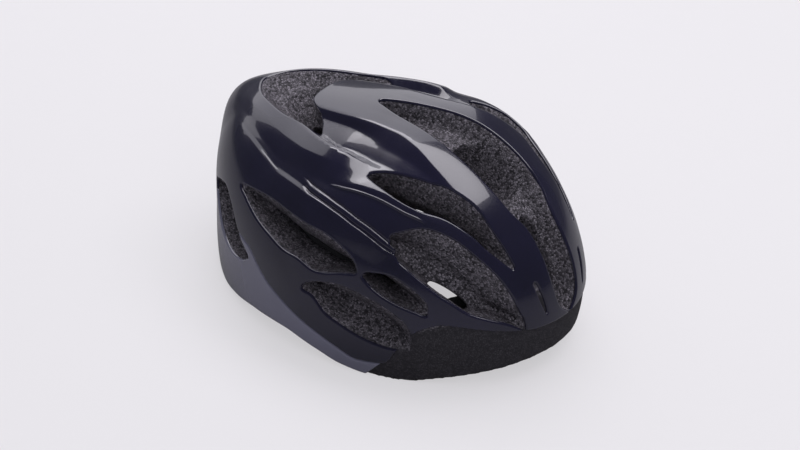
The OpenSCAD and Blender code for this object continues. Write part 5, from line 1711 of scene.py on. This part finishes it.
class HELMET_OT_stage(bpy.types.Operator):
    """Sets the camera at the photographed angle, the floor, the backdrop and the soft studio lights"""
    bl_idname = "helmet.stage"
    bl_label = "Stage"

    def execute(self, context):
        scene = context.scene
        scene.view_settings.view_transform = "Standard"
        look = scene.helmet_look
        azimuth, tilt, roll = (math.radians(a) for a in (PHOTO_AZIMUTH, PHOTO_TILT, PHOTO_ROLL))
        level = math.cos(tilt)
        back = Vector((math.sin(azimuth) * level, -math.cos(azimuth) * level, math.sin(tilt)))
        right = Vector((math.cos(azimuth), math.sin(azimuth), 0))
        up = back.cross(right)
        turned = right * math.cos(roll) + up * math.sin(roll)
        upward = up * math.cos(roll) - right * math.sin(roll)
        lens = bpy.data.cameras.new("photo_camera")
        lens.sensor_width, lens.lens = 36.0, PHOTO_LENS
        lens.shift_x, lens.shift_y = PHOTO_SHIFT
        lens.clip_start, lens.clip_end = 0.05, 50
        camera = bpy.data.objects.new("photo_camera", lens)
        scene.collection.objects.link(camera)
        spot = Vector((0, CENTRE_Y * MM, 0.07)) + back * PHOTO_DISTANCE
        camera.matrix_world = Matrix.Translation(spot) @ Matrix((turned, upward, back)).transposed().to_4x4()
        scene.camera = camera

        floor = self.floor(look)
        world = bpy.data.worlds.new("studio")
        scene.world = world
        world.use_nodes = True
        tree = world.node_tree
        tree.nodes.clear()
        path = node(tree, "ShaderNodeLightPath")
        seen = math_node(tree, "MAXIMUM", path.outputs["Is Camera Ray"], path.outputs["Is Transmission Ray"])
        glow = math_node(tree, "MULTIPLY_ADD", path.outputs["Is Diffuse Ray"], 0.42, 0.08)
        lit = node(tree, "ShaderNodeBackground", {0: (0.8, 0.82, 0.9, 1), 1: glow})
        page = node(tree, "ShaderNodeBackground", {0: (*look.floor, 1), 1: 1.0})
        mixed = node(tree, "ShaderNodeMixShader", {0: seen, 1: lit.outputs[0], 2: page.outputs[0]})
        out = node(tree, "ShaderNodeOutputWorld")
        tree.links.new(mixed.outputs[0], out.inputs[0])

        self.lamp("overhead_softbox", (0.54, 0.07, 1.45), (0.54, 0.07, 0), (0.86, 2.16), 22,
                  (0.98, 0.95, 1.0))
        self.lamp("rear_softbox", (0.72, 1.1, 1.0), (0, 0.0, 0.08), (2.3, 1.1), 8.5, (0.96, 0.94, 1.0))
        fill = self.lamp("fill_softbox", (-1.0, -0.9, 1.5), (0, 0, 0.05), (1.4, 1.4), 13, (0.98, 0.96, 1.0))
        fill.visible_glossy = False
        return {"FINISHED"}

    def floor(self, look):
        """Floor that curves up into a backdrop far behind."""
        points, faces = [], []
        profile = [(-4, 0.0), (3.2, 0.0)] + [(3.2 + 0.9 * math.sin(a), 0.9 - 0.9 * math.cos(a))
                                             for a in np.linspace(0.1, math.pi / 2, 12)] + [(4.1, 5.0)]
        turn = math.radians(PHOTO_AZIMUTH)
        way = Vector((-math.sin(turn), math.cos(turn), 0))
        side = Vector((math.cos(turn), math.sin(turn), 0))
        for far, z in profile:
            for x in (-5, 5):
                p = way * far + side * x
                points.append((p.x, p.y, z - 0.0004))
        for i in range(len(profile) - 1):
            faces.append((2 * i, 2 * i + 1, 2 * i + 3, 2 * i + 2))
        material, tree, bsdf, where = start_material(
            "studio_paper", **{"Roughness": 0.75, "Specular IOR Level": 0.2})
        grain = group_node(tree, grain_group(), where)
        tone = tuple(look.floor)
        dark, pale = (tuple(share * c for c in tone) for share in (0.62, 0.63))
        tree.links.new(colour_mix(tree, grain.outputs[1], dark, pale), bsdf.inputs["Base Color"])
        path = node(tree, "ShaderNodeLightPath")
        page = node(tree, "ShaderNodeEmission", {0: (*tone, 1), 1: 1.0})
        away = node(tree, "ShaderNodeVectorMath", {0: where}, operation="LENGTH").outputs["Value"]
        lifted = map_range(tree, away, 0.5, 2.6, look.page_share, 1.0)
        share = math_node(tree, "MULTIPLY", path.outputs["Is Camera Ray"], lifted)
        mixed = node(tree, "ShaderNodeMixShader", {0: share, 1: bsdf.outputs[0], 2: page.outputs[0]})
        dim = node(tree, "ShaderNodeEmission", {0: (*tone, 1), 1: 0.05})
        mirrored = math_node(tree, "MULTIPLY", path.outputs["Is Glossy Ray"], look.floor_dimming)
        mixed = node(tree, "ShaderNodeMixShader", {0: mirrored, 1: mixed.outputs[0], 2: dim.outputs[0]})
        out = next(n for n in tree.nodes if n.type == "OUTPUT_MATERIAL")
        tree.links.new(mixed.outputs[0], out.inputs[0])
        return add_mesh("studio_floor", np.array(points) / MM, faces, material)

    def lamp(self, name, spot, target, size, power, colour):
        data = bpy.data.lights.new(name, "AREA")
        data.shape, data.size, data.size_y = "RECTANGLE", size[0], size[1]
        data.energy, data.color = power, colour
        lamp = bpy.data.objects.new(name, data)
        bpy.context.scene.collection.objects.link(lamp)
        lamp.location = spot
        lamp.rotation_euler = (Vector(target) - Vector(spot)).to_track_quat("-Z", "Y").to_euler()
        return lamp


class HELMET_PT_panel(bpy.types.Panel):
    bl_label = "Bicycle helmet"
    bl_idname = "HELMET_PT_panel"
    bl_space_type = "VIEW_3D"
    bl_region_type = "UI"
    bl_category = "Helmet"

    def draw(self, context):
        scene = context.scene
        for title, group in (("Shape", scene.helmet_shape), ("Look", scene.helmet_look),
                             ("Soft parts", scene.helmet_soft), ("Fit system", scene.helmet_fit)):
            box = self.layout.box()
            box.label(text=title)
            for key in group.__annotations__:
                box.prop(group, key)
        for step in STEPS:
            self.layout.operator(step.bl_idname)


STEPS = (HELMET_OT_stage, HELMET_OT_shells, HELMET_OT_foam, HELMET_OT_pads, HELMET_OT_straps, HELMET_OT_fit,
         HELMET_OT_hardware)
GROUPS = (("helmet_shape", HelmetShape), ("helmet_look", HelmetLook), ("helmet_soft", HelmetSoft),
          ("helmet_fit", HelmetFit))


def register():
    for _, group in GROUPS:
        bpy.utils.register_class(group)
    for name, group in GROUPS:
        setattr(bpy.types.Scene, name, PointerProperty(type=group))
    for made in STEPS + (HELMET_PT_panel,):
        bpy.utils.register_class(made)


def unregister():
    for made in reversed(STEPS + (HELMET_PT_panel,)):
        bpy.utils.unregister_class(made)
    for name, group in reversed(GROUPS):
        delattr(bpy.types.Scene, name)
        bpy.utils.unregister_class(group)


def main():
    """Makes every piece in order."""
    register()
    for step in STEPS:
        family, name = step.bl_idname.split(".")
        getattr(getattr(bpy.ops, family), name)()


if __name__ == "__main__":
    main()
